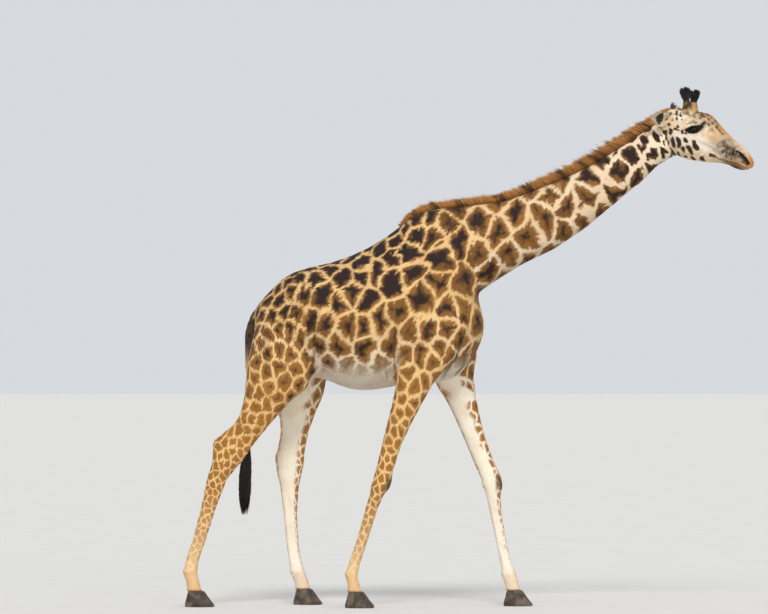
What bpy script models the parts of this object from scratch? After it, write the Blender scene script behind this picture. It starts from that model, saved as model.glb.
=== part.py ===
"""A life-size female giraffe in mid stride, head low and forward, as one still model.

X runs forward to the nose, Y to the animal's left, Z up. Lengths are metres.
The body, head and legs are lofts through sections given by two points of their outline.
"""

import math

import bmesh
import bpy
from mathutils import Matrix, Vector

GAP = 0.0003  # clearance where two pieces meet

TORSO_SIDES = 26  # points round the body and neck
HEAD_SIDES = 24
LEG_SIDES = 14
HORN_SIDES = 10
HOOF_SIDES = 12

FOOT_TRACK = 0.19  # from the middle of the body to the middle of each foot
CORONET_HEIGHT = 0.105  # where skin meets hoof
HOOF_LENGTH = 0.205
CLAW_WIDTH = 0.072
CLAW_SPLIT = 0.008  # between the two claws of a foot
HOOF_SLOPE = math.radians(52)
HOOF_BULGE_HEIGHT = 0.018

HEAD_ORIGIN = Vector((1.988, 0.0, 3.206))  # just behind the ears, on the long axis of the head
HEAD_PITCH = math.radians(27)  # nose below the level
HEAD_YAW = math.radians(-18)  # nose towards the animal's right

EYE_RADIUS = 0.031
EYE_PLACE = Vector((0.186, 0.088, 0.124))  # in the frame of the head, left side
MOUTH_SLOT = 0.0016  # height of the closed lips' parting
MOUTH_SLOT_HALF_WIDTH = 0.09  # wider than the muzzle, so that it cuts right through
MOUTH_LINE = [(0.345, 0.035), (0.484, 0.038), (0.577, 0.046), (0.680, 0.072)]  # corner to lips

HORN_BASE = Vector((0.085, 0.054, 0.190))
HORN_TIP = Vector((0.004, 0.078, 0.342))
HORN_TUFT_FROM = 0.56  # share of the horn's length where its hair tuft starts
HORN_STEM_RADII = (0.056, 0.044, 0.032, 0.025, 0.024)
HORN_TUFT_RADII = (0.024, 0.031, 0.036, 0.038, 0.036, 0.024)

EAR_BASE = Vector((0.012, 0.074, 0.098))
EAR_REACH = {"right": Vector((-0.100, -0.148, -0.022)), "left": Vector((-0.150, 0.105, 0.088))}
EAR_HALF_WIDTH = 0.056
EAR_THICKNESS = 0.007
EAR_CUP = 0.034  # depth of the hollow
EAR_OPENS = Vector((0.72, 0.45, 0.10))  # the way the left ear's open side looks
EAR_WIDTHS = (0.38, 0.62, 0.88, 1.00, 0.98, 0.86, 0.64, 0.36, 0.10)  # shares, root to tip
EAR_SUNK = 0.18  # share of its length by which the root starts inside the head
EAR_POINTS_ACROSS = 7

TAIL_ROOT = Vector((-0.830, 0.0, 2.000))
TAIL_LENGTH = 0.92
TAIL_BEND = 0.10  # length along which the tail turns from level to hanging
TAIL_OUT = 0.052
TAIL_DROP = 0.064
TAIL_DRIFT = 0.02  # backward curve of the hanging part
TAIL_SIDES = 10
TAIL_RADII = (0.036, 0.034, 0.031, 0.028, 0.025, 0.022, 0.020, 0.018, 0.017, 0.016)
TAIL_TUFT_LENGTH = 0.50
TAIL_TUFT_RADII = (0.018, 0.030, 0.040, 0.045, 0.042, 0.032, 0.016)

# Sections of the body and neck, rump to poll:
# outline above, outline below, half width, height of the widest level, narrowing of the ridge
TORSO = [
    ((-0.832, 1.900), (-0.815, 1.700), 0.070, 0.50, 0.10),
    ((-0.840, 2.000), (-0.800, 1.620), 0.145, 0.50, 0.20),  # tail head
    ((-0.810, 2.075), (-0.740, 1.590), 0.205, 0.50, 0.25),
    ((-0.715, 2.175), (-0.640, 1.575), 0.250, 0.52, 0.25),
    ((-0.600, 2.270), (-0.520, 1.575), 0.282, 0.50, 0.25),  # croup
    ((-0.475, 2.310), (-0.395, 1.560), 0.305, 0.50, 0.25),
    ((-0.340, 2.340), (-0.280, 1.515), 0.335, 0.47, 0.25),
    ((-0.205, 2.380), (-0.155, 1.475), 0.362, 0.44, 0.25),
    ((-0.070, 2.440), (-0.020, 1.475), 0.370, 0.43, 0.27),  # deepest belly
    ((0.050, 2.510), (0.130, 1.500), 0.350, 0.42, 0.30),
    ((0.155, 2.590), (0.270, 1.520), 0.318, 0.42, 0.32),
    ((0.240, 2.655), (0.420, 1.515), 0.290, 0.42, 0.34),
    ((0.315, 2.695), (0.565, 1.570), 0.268, 0.44, 0.35),  # elbows
    ((0.375, 2.710), (0.675, 1.700), 0.250, 0.46, 0.35),
    ((0.420, 2.720), (0.735, 1.850), 0.232, 0.48, 0.35),  # withers to breast
    ((0.475, 2.720), (0.732, 1.965), 0.212, 0.50, 0.35),
    ((0.545, 2.730), (0.690, 2.075), 0.188, 0.50, 0.33),
    ((0.635, 2.740), (0.692, 2.128), 0.165, 0.50, 0.30),  # foot of the neck
    ((0.750, 2.750), (0.820, 2.222), 0.148, 0.50, 0.28),
    ((0.885, 2.770), (1.005, 2.335), 0.134, 0.50, 0.25),
    ((1.055, 2.830), (1.210, 2.430), 0.121, 0.50, 0.22),
    ((1.260, 2.910), (1.430, 2.575), 0.108, 0.50, 0.20),
    ((1.465, 3.005), (1.625, 2.735), 0.098, 0.50, 0.18),
    ((1.635, 3.110), (1.790, 2.870), 0.091, 0.50, 0.15),
    ((1.790, 3.210), (1.915, 2.995), 0.087, 0.50, 0.12),
    ((1.890, 3.280), (1.985, 3.037), 0.082, 0.50, 0.10),
    ((1.985, 3.300), (2.075, 3.080), 0.066, 0.50, 0.10),
]
NECK_CUT = (Vector((0.640, 0.0, 2.480)), Vector((0.970, 0.0, 0.242)))  # point, way forward

# Sections of the head in its own frame, back to front:
# outline above, outline below, half width, height of the widest level, narrowing of the top
HEAD = [
    ((-0.103, 0.105), (-0.057, 0.005), 0.048, 0.50, 0.00),
    ((-0.070, 0.158), (0.008, -0.070), 0.078, 0.55, 0.00),
    ((-0.019, 0.194), (0.062, -0.098), 0.095, 0.60, 0.00),  # ears
    ((0.054, 0.212), (0.113, -0.103), 0.106, 0.64, 0.00),  # jaw angle
    ((0.111, 0.228), (0.160, -0.100), 0.113, 0.66, 0.02),
    ((0.168, 0.246), (0.206, -0.096), 0.115, 0.67, 0.08),  # eyes
    ((0.220, 0.250), (0.252, -0.085), 0.106, 0.67, 0.12),
    ((0.272, 0.237), (0.299, -0.067), 0.090, 0.66, 0.12),
    ((0.321, 0.219), (0.342, -0.048), 0.076, 0.62, 0.10),
    ((0.373, 0.200), (0.387, -0.029), 0.066, 0.58, 0.08),
    ((0.424, 0.183), (0.435, -0.010), 0.060, 0.55, 0.05),
    ((0.472, 0.172), (0.484, 0.004), 0.058, 0.52, 0.02),
    ((0.518, 0.168), (0.529, 0.002), 0.060, 0.52, 0.00),  # nostrils
    ((0.559, 0.154), (0.573, 0.009), 0.059, 0.52, 0.00),
    ((0.595, 0.136), (0.610, 0.026), 0.052, 0.52, 0.00),
    ((0.624, 0.115), (0.637, 0.048), 0.038, 0.52, 0.00),
    ((0.639, 0.098), (0.645, 0.068), 0.018, 0.50, 0.00),
]

# Sections of each leg, top to coronet: outline in front, outline behind, middle in Y, half width
LEGS = {
    "foreleg_right": [
        ((0.440, 2.430), (0.250, 2.400), 0.130, 0.030),  # shoulder blade
        ((0.590, 2.155), (0.245, 2.090), 0.176, 0.086),
        ((0.655, 1.920), (0.205, 1.850), 0.186, 0.108),  # point of the shoulder
        ((0.560, 1.690), (0.165, 1.675), 0.190, 0.103),
        ((0.415, 1.515), (0.150, 1.515), 0.195, 0.086),  # elbow
        ((0.325, 1.365), (0.118, 1.345), 0.198, 0.070),
        ((0.255, 1.240), (0.083, 1.210), 0.196, 0.060),
        ((0.198, 1.115), (0.055, 1.095), 0.194, 0.053),
        ((0.160, 0.995), (0.018, 0.945), 0.192, 0.050),
        ((0.130, 0.885), (-0.005, 0.868), 0.190, 0.054),
        ((0.112, 0.815), (-0.016, 0.812), 0.190, 0.057),  # knee
        ((0.070, 0.748), (-0.030, 0.758), 0.190, 0.050),
        ((0.035, 0.675), (-0.050, 0.692), 0.190, 0.039),
        ((-0.035, 0.455), (-0.110, 0.475), 0.190, 0.034),  # shank
        ((-0.090, 0.290), (-0.165, 0.315), 0.190, 0.038),
        ((-0.105, 0.210), (-0.192, 0.232), 0.190, 0.049),  # fetlock
        ((-0.085, 0.140), (-0.178, 0.158), 0.190, 0.050),
        ((-0.062, 0.085), (-0.180, 0.085), 0.190, 0.060),
    ],
    "foreleg_left": [
        ((0.485, 2.430), (0.280, 2.400), 0.130, 0.030),  # shoulder blade
        ((0.620, 2.155), (0.300, 2.090), 0.176, 0.086),
        ((0.692, 1.920), (0.275, 1.880), 0.186, 0.108),  # point of the shoulder
        ((0.682, 1.740), (0.300, 1.665), 0.190, 0.103),
        ((0.650, 1.560), (0.378, 1.510), 0.195, 0.086),  # elbow
        ((0.668, 1.395), (0.468, 1.375), 0.198, 0.070),
        ((0.697, 1.250), (0.530, 1.245), 0.196, 0.060),
        ((0.732, 1.130), (0.585, 1.120), 0.194, 0.053),
        ((0.775, 1.015), (0.638, 0.990), 0.192, 0.050),
        ((0.830, 0.900), (0.695, 0.865), 0.190, 0.054),
        ((0.842, 0.818), (0.715, 0.795), 0.190, 0.057),  # knee
        ((0.835, 0.735), (0.735, 0.730), 0.190, 0.050),
        ((0.838, 0.645), (0.753, 0.640), 0.190, 0.039),
        ((0.870, 0.455), (0.795, 0.448), 0.190, 0.034),  # shank
        ((0.903, 0.305), (0.827, 0.292), 0.190, 0.038),
        ((0.935, 0.230), (0.840, 0.205), 0.190, 0.049),  # fetlock
        ((0.955, 0.158), (0.860, 0.130), 0.190, 0.050),
        ((0.980, 0.085), (0.862, 0.085), 0.190, 0.060),
    ],
    "hindleg_right": [
        ((-0.510, 2.120), (-0.720, 2.050), 0.135, 0.055),  # hip
        ((-0.420, 1.900), (-0.820, 1.890), 0.165, 0.120),
        ((-0.385, 1.750), (-0.862, 1.735), 0.168, 0.138),
        ((-0.400, 1.610), (-0.878, 1.580), 0.171, 0.135),  # stifle
        ((-0.440, 1.495), (-0.888, 1.465), 0.180, 0.115),
        ((-0.535, 1.420), (-0.900, 1.375), 0.190, 0.093),
        ((-0.628, 1.325), (-0.925, 1.290), 0.200, 0.074),
        ((-0.718, 1.222), (-0.965, 1.235), 0.198, 0.062),
        ((-0.790, 1.135), (-1.025, 1.190), 0.195, 0.052),
        ((-0.850, 1.060), (-1.090, 1.135), 0.192, 0.052),  # point of the hock
        ((-0.890, 0.995), (-1.103, 1.050), 0.190, 0.058),
        ((-0.942, 0.935), (-1.112, 0.965), 0.190, 0.052),
        ((-1.000, 0.865), (-1.140, 0.885), 0.190, 0.042),
        ((-1.078, 0.665), (-1.182, 0.685), 0.190, 0.035),  # shank
        ((-1.150, 0.440), (-1.240, 0.460), 0.190, 0.035),
        ((-1.195, 0.310), (-1.285, 0.330), 0.190, 0.040),
        ((-1.205, 0.225), (-1.305, 0.245), 0.190, 0.050),  # fetlock
        ((-1.185, 0.150), (-1.285, 0.165), 0.190, 0.051),
        ((-1.160, 0.085), (-1.280, 0.085), 0.190, 0.060),
    ],
    "hindleg_left": [
        ((-0.430, 2.120), (-0.650, 2.060), 0.135, 0.055),  # hip
        ((-0.355, 1.900), (-0.740, 1.840), 0.165, 0.120),
        ((-0.332, 1.740), (-0.768, 1.670), 0.168, 0.138),
        ((-0.352, 1.580), (-0.760, 1.510), 0.171, 0.133),  # stifle
        ((-0.390, 1.435), (-0.736, 1.395), 0.184, 0.104),
        ((-0.450, 1.305), (-0.702, 1.285), 0.200, 0.078),
        ((-0.495, 1.180), (-0.692, 1.180), 0.198, 0.062),
        ((-0.517, 1.065), (-0.712, 1.075), 0.194, 0.053),
        ((-0.528, 0.965), (-0.728, 0.985), 0.190, 0.055),  # point of the hock
        ((-0.545, 0.880), (-0.718, 0.900), 0.190, 0.054),
        ((-0.562, 0.795), (-0.695, 0.810), 0.190, 0.045),
        ((-0.572, 0.620), (-0.672, 0.625), 0.190, 0.035),  # shank
        ((-0.562, 0.420), (-0.650, 0.418), 0.190, 0.035),
        ((-0.545, 0.310), (-0.635, 0.300), 0.190, 0.040),
        ((-0.520, 0.235), (-0.620, 0.220), 0.190, 0.050),  # fetlock
        ((-0.495, 0.160), (-0.595, 0.145), 0.190, 0.051),
        ((-0.470, 0.085), (-0.590, 0.085), 0.190, 0.060),
    ],
}
# Where each leg parts into its upper and lower piece: point, way down
LEG_CUTS = {
    "foreleg_right": (Vector((0.060, 0.0, 0.915)), Vector((-0.25, 0.0, -0.968))),
    "foreleg_left": (Vector((0.745, 0.0, 0.920)), Vector((0.30, 0.0, -0.954))),
    "hindleg_right": (Vector((-0.925, 0.0, 1.135)), Vector((-0.60, 0.0, -0.800))),
    "hindleg_left": (Vector((-0.615, 0.0, 1.045)), Vector((-0.08, 0.0, -0.997))),
}

# Height of the mane above the neck's upper outline, by section of the torso
MANE_HEIGHTS = {
    10: 0.000,
    11: 0.030,
    12: 0.037,
    13: 0.040,
    14: 0.040,
    15: 0.040,
    16: 0.041,
    17: 0.043,
    18: 0.045,
    19: 0.049,
    20: 0.055,
    21: 0.063,
    22: 0.070,
    23: 0.072,
    24: 0.072,
}
# Between the ears the mane runs out over the back of the head: outline, height
MANE_FRONT = [((1.895, 3.283), 0.064), ((1.965, 3.342), 0.048), ((2.025, 3.372), 0.022)]
MANE_ROOT_WIDTH = 0.020
MANE_TOP_WIDTH = 0.008
MANE_SUNK = 0.035
MANE_LEAN = 0.35


def clear_scene():
    for old in list(bpy.data.objects):
        bpy.data.objects.remove(old, do_unlink=True)


def make_material(name, colour, roughness):
    material = bpy.data.materials.new(name)
    material.use_nodes = True
    shader = material.node_tree.nodes["Principled BSDF"]
    shader.inputs["Base Color"].default_value = (*colour, 1.0)
    shader.inputs["Roughness"].default_value = roughness
    shader.inputs["Metallic"].default_value = 0.0
    return material


def ring_section(above, below, middle, half_width, widest, narrowing, sides, grow=0.0):
    """One closed section between two points of the side outline."""
    top = Vector((above[0], middle, above[1]))
    bottom = Vector((below[0], middle, below[1]))
    span = (top - bottom).normalized()
    top = top + span * grow
    bottom = bottom - span * grow
    wide_point = bottom.lerp(top, widest)
    ring = []
    for step in range(sides):
        angle = 2.0 * math.pi * step / sides
        rise = math.sin(angle)
        reach = (half_width + grow) * math.cos(angle)
        if rise > 0.0:
            point = wide_point.lerp(top, rise)
            reach *= 1.0 - narrowing * rise * rise
        else:
            point = wide_point.lerp(bottom, -rise)
        ring.append(Vector((point.x, point.y + reach, point.z)))
    return ring


def loft(rings, grow=0.0):
    """A closed mesh through rings of equal point counts, capped at both ends."""
    first = sum(rings[0], Vector()) / len(rings[0])
    second = sum(rings[1], Vector()) / len(rings[1])
    last = sum(rings[-1], Vector()) / len(rings[-1])
    before = sum(rings[-2], Vector()) / len(rings[-2])
    head_shift = (first - second).normalized() * grow
    tail_shift = (last - before).normalized() * grow
    rings = [list(ring) for ring in rings]
    rings[0] = [point + head_shift for point in rings[0]]
    rings[-1] = [point + tail_shift for point in rings[-1]]
    shape = bmesh.new()
    loops = [[shape.verts.new(point) for point in ring] for ring in rings]
    sides = len(loops[0])
    for lower, upper in zip(loops, loops[1:]):
        for step in range(sides):
            after = (step + 1) % sides
            shape.faces.new((lower[step], lower[after], upper[after]))
            shape.faces.new((lower[step], upper[after], upper[step]))
    caps = [shape.faces.new(reversed(loops[0])), shape.faces.new(loops[-1])]
    bmesh.ops.triangulate(shape, faces=caps)
    bmesh.ops.recalc_face_normals(shape, faces=shape.faces)
    return shape


def keep_side(shape, point, normal):
    """Cuts a mesh at a plane, keeps the side the normal points away from, and closes it."""
    geometry = shape.verts[:] + shape.edges[:] + shape.faces[:]
    cut = bmesh.ops.bisect_plane(
        shape, geom=geometry, dist=1e-6, plane_co=point, plane_no=normal, clear_outer=True
    )
    edges = [item for item in cut["geom_cut"] if isinstance(item, bmesh.types.BMEdge)]
    bmesh.ops.holes_fill(shape, edges=edges, sides=0)
    bmesh.ops.recalc_face_normals(shape, faces=shape.faces)
    return shape


def make_object(name, shape, material):
    """Writes a bmesh into a named object, smooth except at sharp rims."""
    mesh = bpy.data.meshes.new(name)
    bmesh.ops.triangulate(shape, faces=[face for face in shape.faces if len(face.verts) > 4])
    shape.to_mesh(mesh)
    shape.free()
    mesh.materials.append(material)
    mesh.shade_smooth()
    mesh.set_sharp_from_angle(angle=math.radians(50))
    piece = bpy.data.objects.new(name, mesh)
    bpy.context.scene.collection.objects.link(piece)
    return piece


def make_cutter(name, shape):
    mesh = bpy.data.meshes.new(name)
    shape.to_mesh(mesh)
    shape.free()
    cutter = bpy.data.objects.new(name, mesh)
    cutter.hide_render = True
    cutter.display_type = "WIRE"
    bpy.context.scene.collection.objects.link(cutter)
    return cutter


def cut_away(piece, *cutters):
    for cutter in cutters:
        modifier = piece.modifiers.new(cutter.name, "BOOLEAN")
        modifier.operation = "DIFFERENCE"
        modifier.solver = "EXACT"
        modifier.object = cutter


def head_frame():
    yaw = Matrix.Rotation(HEAD_YAW, 4, "Z")
    pitch = Matrix.Rotation(HEAD_PITCH, 4, "Y")
    return Matrix.Translation(HEAD_ORIGIN) @ yaw @ pitch


def torso_loft(grow=0.0):
    rings = []
    for above, below, half_width, widest, narrowing in TORSO:
        rings.append(
            ring_section(above, below, 0.0, half_width, widest, narrowing, TORSO_SIDES, grow)
        )
    return loft(rings, grow)


def head_loft(grow=0.0):
    place = head_frame()
    rings = []
    for above, below, half_width, widest, narrowing in HEAD:
        ring = ring_section(above, below, 0.0, half_width, widest, narrowing, HEAD_SIDES, grow)
        rings.append([place @ point for point in ring])
    return loft(rings, grow)


def leg_loft(name, grow=0.0):
    side = -1.0 if name.endswith("right") else 1.0
    rings = []
    for front, back, middle, half_width in LEGS[name]:
        rings.append(
            ring_section(front, back, side * middle, half_width, 0.5, 0.0, LEG_SIDES, grow)
        )
    return loft(rings, grow)


def build_trunk_and_neck(skin, cutters):
    cut_point, forward = NECK_CUT
    trunk_shape = keep_side(torso_loft(), cut_point - forward * GAP / 2, forward)
    trunk = make_object("trunk", trunk_shape, skin)
    cut_away(trunk, *[cutters[name] for name in LEGS])
    neck_shape = keep_side(torso_loft(), cut_point + forward * GAP / 2, -forward)
    neck = make_object("neck", neck_shape, skin)
    cut_away(neck, cutters["head"])


def build_legs(skin):
    for name in LEGS:
        cut_point, down = LEG_CUTS[name]
        upper = keep_side(leg_loft(name), cut_point - down * GAP / 2, down)
        make_object(name + "_upper", upper, skin)
        lower = keep_side(leg_loft(name), cut_point + down * GAP / 2, -down)
        sole_plane = Vector((0.0, 0.0, CORONET_HEIGHT))
        lower = keep_side(lower, sole_plane, Vector((0.0, 0.0, -1.0)))
        make_object(name + "_lower", lower, skin)


def claw_ring(height, heel, toe, half_width, side):
    """Plan outline of one claw: straight inner wall, rounded outside, pointed toe."""
    ring = []
    for step in range(HOOF_SIDES):
        angle = 2.0 * math.pi * step / HOOF_SIDES
        along = math.cos(angle)
        across = math.sin(angle)
        x = heel + (toe - heel) * (0.5 + 0.5 * along)
        pointed = 1.0 - 0.35 * max(along, 0.0) ** 2
        reach = half_width * (1.0 + across * pointed) if across > 0.0 else half_width * (1.0 + across)
        ring.append(Vector((x, side * (CLAW_SPLIT / 2 + reach), height)))
    return ring


def build_hooves(horn):
    top = CORONET_HEIGHT - GAP
    for name, sections in LEGS.items():
        side = -1.0 if name.endswith("right") else 1.0
        front, back, _, _ = sections[-1]
        heel = back[0] + 0.004
        coronet_front = front[0]
        toe = coronet_front + top / math.tan(HOOF_SLOPE)
        for label, turn in (("outer", side), ("inner", -side)):
            levels = [
                (0.0, toe - HOOF_LENGTH, toe - 0.008, CLAW_WIDTH / 2 - 0.003),
                (HOOF_BULGE_HEIGHT, toe - HOOF_LENGTH - 0.004, toe - 0.006, CLAW_WIDTH / 2),
                (top * 0.55, toe - HOOF_LENGTH + 0.006, toe - 0.044, CLAW_WIDTH / 2 - 0.002),
                (top, heel, coronet_front, CLAW_WIDTH / 2 - 0.008),
            ]
            rings = [claw_ring(*level, turn) for level in levels]
            shape = loft(rings)
            middle = Matrix.Translation(Vector((0.0, side * FOOT_TRACK, 0.0)))
            bmesh.ops.transform(shape, matrix=middle, verts=shape.verts)
            limb, side_name = name.split("_")
            make_object(f"hoof_{limb[:4]}_{side_name}_{label}", shape, horn)


def eye_ball(side, radius):
    shape = bmesh.new()
    bmesh.ops.create_uvsphere(shape, u_segments=12, v_segments=8, radius=radius)
    place = Vector((EYE_PLACE.x, side * EYE_PLACE.y, EYE_PLACE.z))
    turn = Matrix.Rotation(math.radians(90), 4, "X")
    bmesh.ops.transform(
        shape, matrix=head_frame() @ Matrix.Translation(place) @ turn, verts=shape.verts
    )
    return shape


def mouth_slot():
    """A thin layer of air between the lips, from their front to the corner of the mouth."""
    shape = bmesh.new()
    rows = []
    for x, z in MOUTH_LINE:
        row = []
        for y in (-MOUTH_SLOT_HALF_WIDTH, MOUTH_SLOT_HALF_WIDTH):
            for rise in (-MOUTH_SLOT / 2, MOUTH_SLOT / 2):
                row.append(shape.verts.new((x, y, z + rise)))
        rows.append(row)
    for back, fore in zip(rows, rows[1:]):
        shape.faces.new((back[0], fore[0], fore[2], back[2]))
        shape.faces.new((back[1], back[3], fore[3], fore[1]))
        shape.faces.new((back[0], back[1], fore[1], fore[0]))
        shape.faces.new((back[2], fore[2], fore[3], back[3]))
    for row in (rows[0], rows[-1]):
        shape.faces.new((row[0], row[2], row[3], row[1]))
    bmesh.ops.recalc_face_normals(shape, faces=shape.faces)
    bmesh.ops.transform(shape, matrix=head_frame(), verts=shape.verts)
    return shape


def build_head(skin, eye_material):
    head = make_object("head", head_loft(), skin)
    cut_away(head, make_cutter("mouth_slot", mouth_slot()))
    for side, side_name in ((-1.0, "right"), (1.0, "left")):
        socket = make_cutter(f"eye_socket_{side_name}", eye_ball(side, EYE_RADIUS + GAP))
        cut_away(head, socket)
        make_object(f"eye_{side_name}", eye_ball(side, EYE_RADIUS), eye_material)


def horn_rings(side, start, finish, radii):
    """Round sections along a horn between two shares of its length."""
    base = Vector((HORN_BASE.x, side * HORN_BASE.y, HORN_BASE.z))
    tip = Vector((HORN_TIP.x, side * HORN_TIP.y, HORN_TIP.z))
    axis = (tip - base).normalized()
    across = axis.cross(Vector((0.0, 1.0, 0.0))).normalized()
    upright = axis.cross(across)
    place = head_frame()
    rings = []
    for row, radius in enumerate(radii):
        share = start + (finish - start) * row / (len(radii) - 1)
        centre = base.lerp(tip, share)
        ring = []
        for step in range(HORN_SIDES):
            angle = 2.0 * math.pi * step / HORN_SIDES
            offset = (across * math.cos(angle) + upright * math.sin(angle)) * radius
            ring.append(place @ (centre + offset))
        rings.append(ring)
    return rings


def build_horns(skin, hair, head_cutter):
    length = (HORN_TIP - HORN_BASE).length
    gap_share = GAP / length
    for side, side_name in ((-1.0, "right"), (1.0, "left")):
        stem_rings = horn_rings(side, 0.0, HORN_TUFT_FROM, HORN_STEM_RADII)
        stem = make_object(f"horn_{side_name}", loft(stem_rings), skin)
        cut_away(stem, head_cutter)
        tuft_rings = horn_rings(side, HORN_TUFT_FROM + gap_share, 1.0, HORN_TUFT_RADII)
        make_object(f"horn_tuft_{side_name}", loft(tuft_rings), hair)


def ear_loft(side_name):
    side = -1.0 if side_name == "right" else 1.0
    reach = EAR_REACH[side_name]
    root = Vector((EAR_BASE.x, side * EAR_BASE.y, EAR_BASE.z))
    axis = reach.normalized()
    facing = Vector((EAR_OPENS.x, side * EAR_OPENS.y, EAR_OPENS.z))
    facing = (facing - axis * facing.dot(axis)).normalized()
    across = axis.cross(facing)
    place = head_frame()
    rings = []
    for row, share in enumerate(EAR_WIDTHS):
        along = row / (len(EAR_WIDTHS) - 1)
        centre = root + axis * (reach.length * (along * (1.0 + EAR_SUNK) - EAR_SUNK))
        half_width = EAR_HALF_WIDTH * share
        cup = EAR_CUP * share * (1.0 - 0.35 * along)
        outer = []
        inner = []
        for step in range(EAR_POINTS_ACROSS):
            spread = 2.0 * step / (EAR_POINTS_ACROSS - 1) - 1.0
            depth = cup * (1.0 - spread * spread)
            thick = EAR_THICKNESS * (1.0 - 0.6 * spread * spread) * (1.0 - 0.4 * along)
            side_way = across * (half_width * spread)
            outer.append(place @ (centre + side_way - facing * (depth + thick / 2)))
            inner.append(place @ (centre + side_way - facing * (depth - thick / 2)))
        rings.append(outer + list(reversed(inner)))
    return loft(rings)


def build_ears(skin, head_cutter, mane_cutter):
    for side_name in ("right", "left"):
        ear = make_object(f"ear_{side_name}", ear_loft(side_name), skin)
        cut_away(ear, head_cutter, mane_cutter)


def mane_loft(grow=0.0):
    """A ridge of hair from the withers to the poll, leaning back, its root sunk in the neck."""
    line = [(TORSO[index][0], height) for index, height in MANE_HEIGHTS.items()] + MANE_FRONT
    points = [Vector((outline[0], 0.0, outline[1])) for outline, _ in line]
    rings = []
    for index, (_, height) in enumerate(line):
        ahead = points[min(index + 1, len(points) - 1)]
        behind = points[max(index - 1, 0)]
        along = (ahead - behind).normalized()
        rise = Vector((-along.z, 0.0, along.x))
        crown = points[index] + rise * (height + grow) - along * (MANE_LEAN * height)
        profile = (
            (points[index] - rise * MANE_SUNK, MANE_ROOT_WIDTH),
            (points[index].lerp(crown, 0.15), MANE_ROOT_WIDTH),
            (points[index].lerp(crown, 0.70), (MANE_ROOT_WIDTH + MANE_TOP_WIDTH) / 2),
            (crown, MANE_TOP_WIDTH),
        )
        right = [point - Vector((0.0, half + grow, 0.0)) for point, half in profile]
        left = [point + Vector((0.0, half + grow, 0.0)) for point, half in profile]
        rings.append(right + list(reversed(left)))
    return loft(rings, grow)


def tail_point(distance):
    """Centre of the tail at a distance from its root: out, over and down behind the rump."""
    if distance < TAIL_BEND:
        turn = distance / TAIL_BEND * math.pi / 2
        out = TAIL_OUT * math.sin(turn)
        return TAIL_ROOT + Vector((-out, 0.0, -TAIL_DROP * (1.0 - math.cos(turn))))
    fall = distance - TAIL_BEND
    return TAIL_ROOT + Vector((-TAIL_OUT - TAIL_DRIFT * fall * fall, 0.0, -TAIL_DROP - fall))


def tail_rings(start, finish, radii):
    rings = []
    near = 0.004
    across = Vector((0.0, 1.0, 0.0))
    for row, radius in enumerate(radii):
        distance = start + (finish - start) * row / (len(radii) - 1)
        centre = tail_point(distance)
        onward = (tail_point(distance + near) - tail_point(distance - near)).normalized()
        upright = onward.cross(across)
        ring = []
        for step in range(TAIL_SIDES):
            angle = 2.0 * math.pi * step / TAIL_SIDES
            ring.append(centre + (across * math.cos(angle) + upright * math.sin(angle)) * radius)
        rings.append(ring)
    return rings


def build_tail(skin, hair, cutters):
    dock = make_object("tail", loft(tail_rings(0.005, TAIL_LENGTH, TAIL_RADII)), skin)
    cut_away(dock, cutters["torso"], cutters["hindleg_right"], cutters["hindleg_left"])
    tuft_start = TAIL_LENGTH + GAP
    tuft = tail_rings(tuft_start, tuft_start + TAIL_TUFT_LENGTH, TAIL_TUFT_RADII)
    make_object("tail_tuft", loft(tuft), hair)


def centre_on_floor():
    """Moves every object so that the origin is below the middle of the whole animal."""
    bpy.context.view_layer.update()
    graph = bpy.context.evaluated_depsgraph_get()
    pieces = [item for item in bpy.data.objects if item.type == "MESH"]
    lowest = Vector((math.inf,) * 3)
    highest = Vector((-math.inf,) * 3)
    for piece in pieces:
        if piece.hide_render:
            continue
        mesh = piece.evaluated_get(graph).to_mesh()
        for vertex in mesh.vertices:
            place = piece.matrix_world @ vertex.co
            lowest = Vector(map(min, lowest, place))
            highest = Vector(map(max, highest, place))
    middle = (lowest + highest) / 2
    for piece in pieces:
        piece.location = Vector((-middle.x, -middle.y, -lowest.z))


def main():
    clear_scene()
    skin = make_material("coat", (0.50, 0.28, 0.11), 0.85)
    mane_hair = make_material("mane_hair", (0.40, 0.16, 0.05), 0.8)
    black_hair = make_material("black_hair", (0.02, 0.017, 0.015), 0.75)
    hoof_horn = make_material("hoof_horn", (0.10, 0.075, 0.055), 0.5)
    eye_gloss = make_material("eye_gloss", (0.015, 0.01, 0.008), 0.1)
    cutters = {name: make_cutter(f"{name}_cutter", leg_loft(name, GAP)) for name in LEGS}
    cutters["head"] = make_cutter("head_cutter", head_loft(GAP))
    cutters["torso"] = make_cutter("torso_cutter", torso_loft(GAP))
    cutters["mane"] = make_cutter("mane_cutter", mane_loft(GAP))
    build_trunk_and_neck(skin, cutters)
    build_legs(skin)
    build_hooves(hoof_horn)
    build_head(skin, eye_gloss)
    build_horns(skin, black_hair, cutters["head"])
    build_ears(skin, cutters["head"], cutters["mane"])
    mane = make_object("mane", mane_loft(), mane_hair)
    cut_away(mane, cutters["torso"], cutters["head"])
    build_tail(skin, black_hair, cutters)
    centre_on_floor()


main()
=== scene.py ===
import math

import bmesh
import bpy
import numpy as np
from mathutils import Matrix, Vector
from mathutils.bvhtree import BVHTree
from mathutils.kdtree import KDTree


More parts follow.
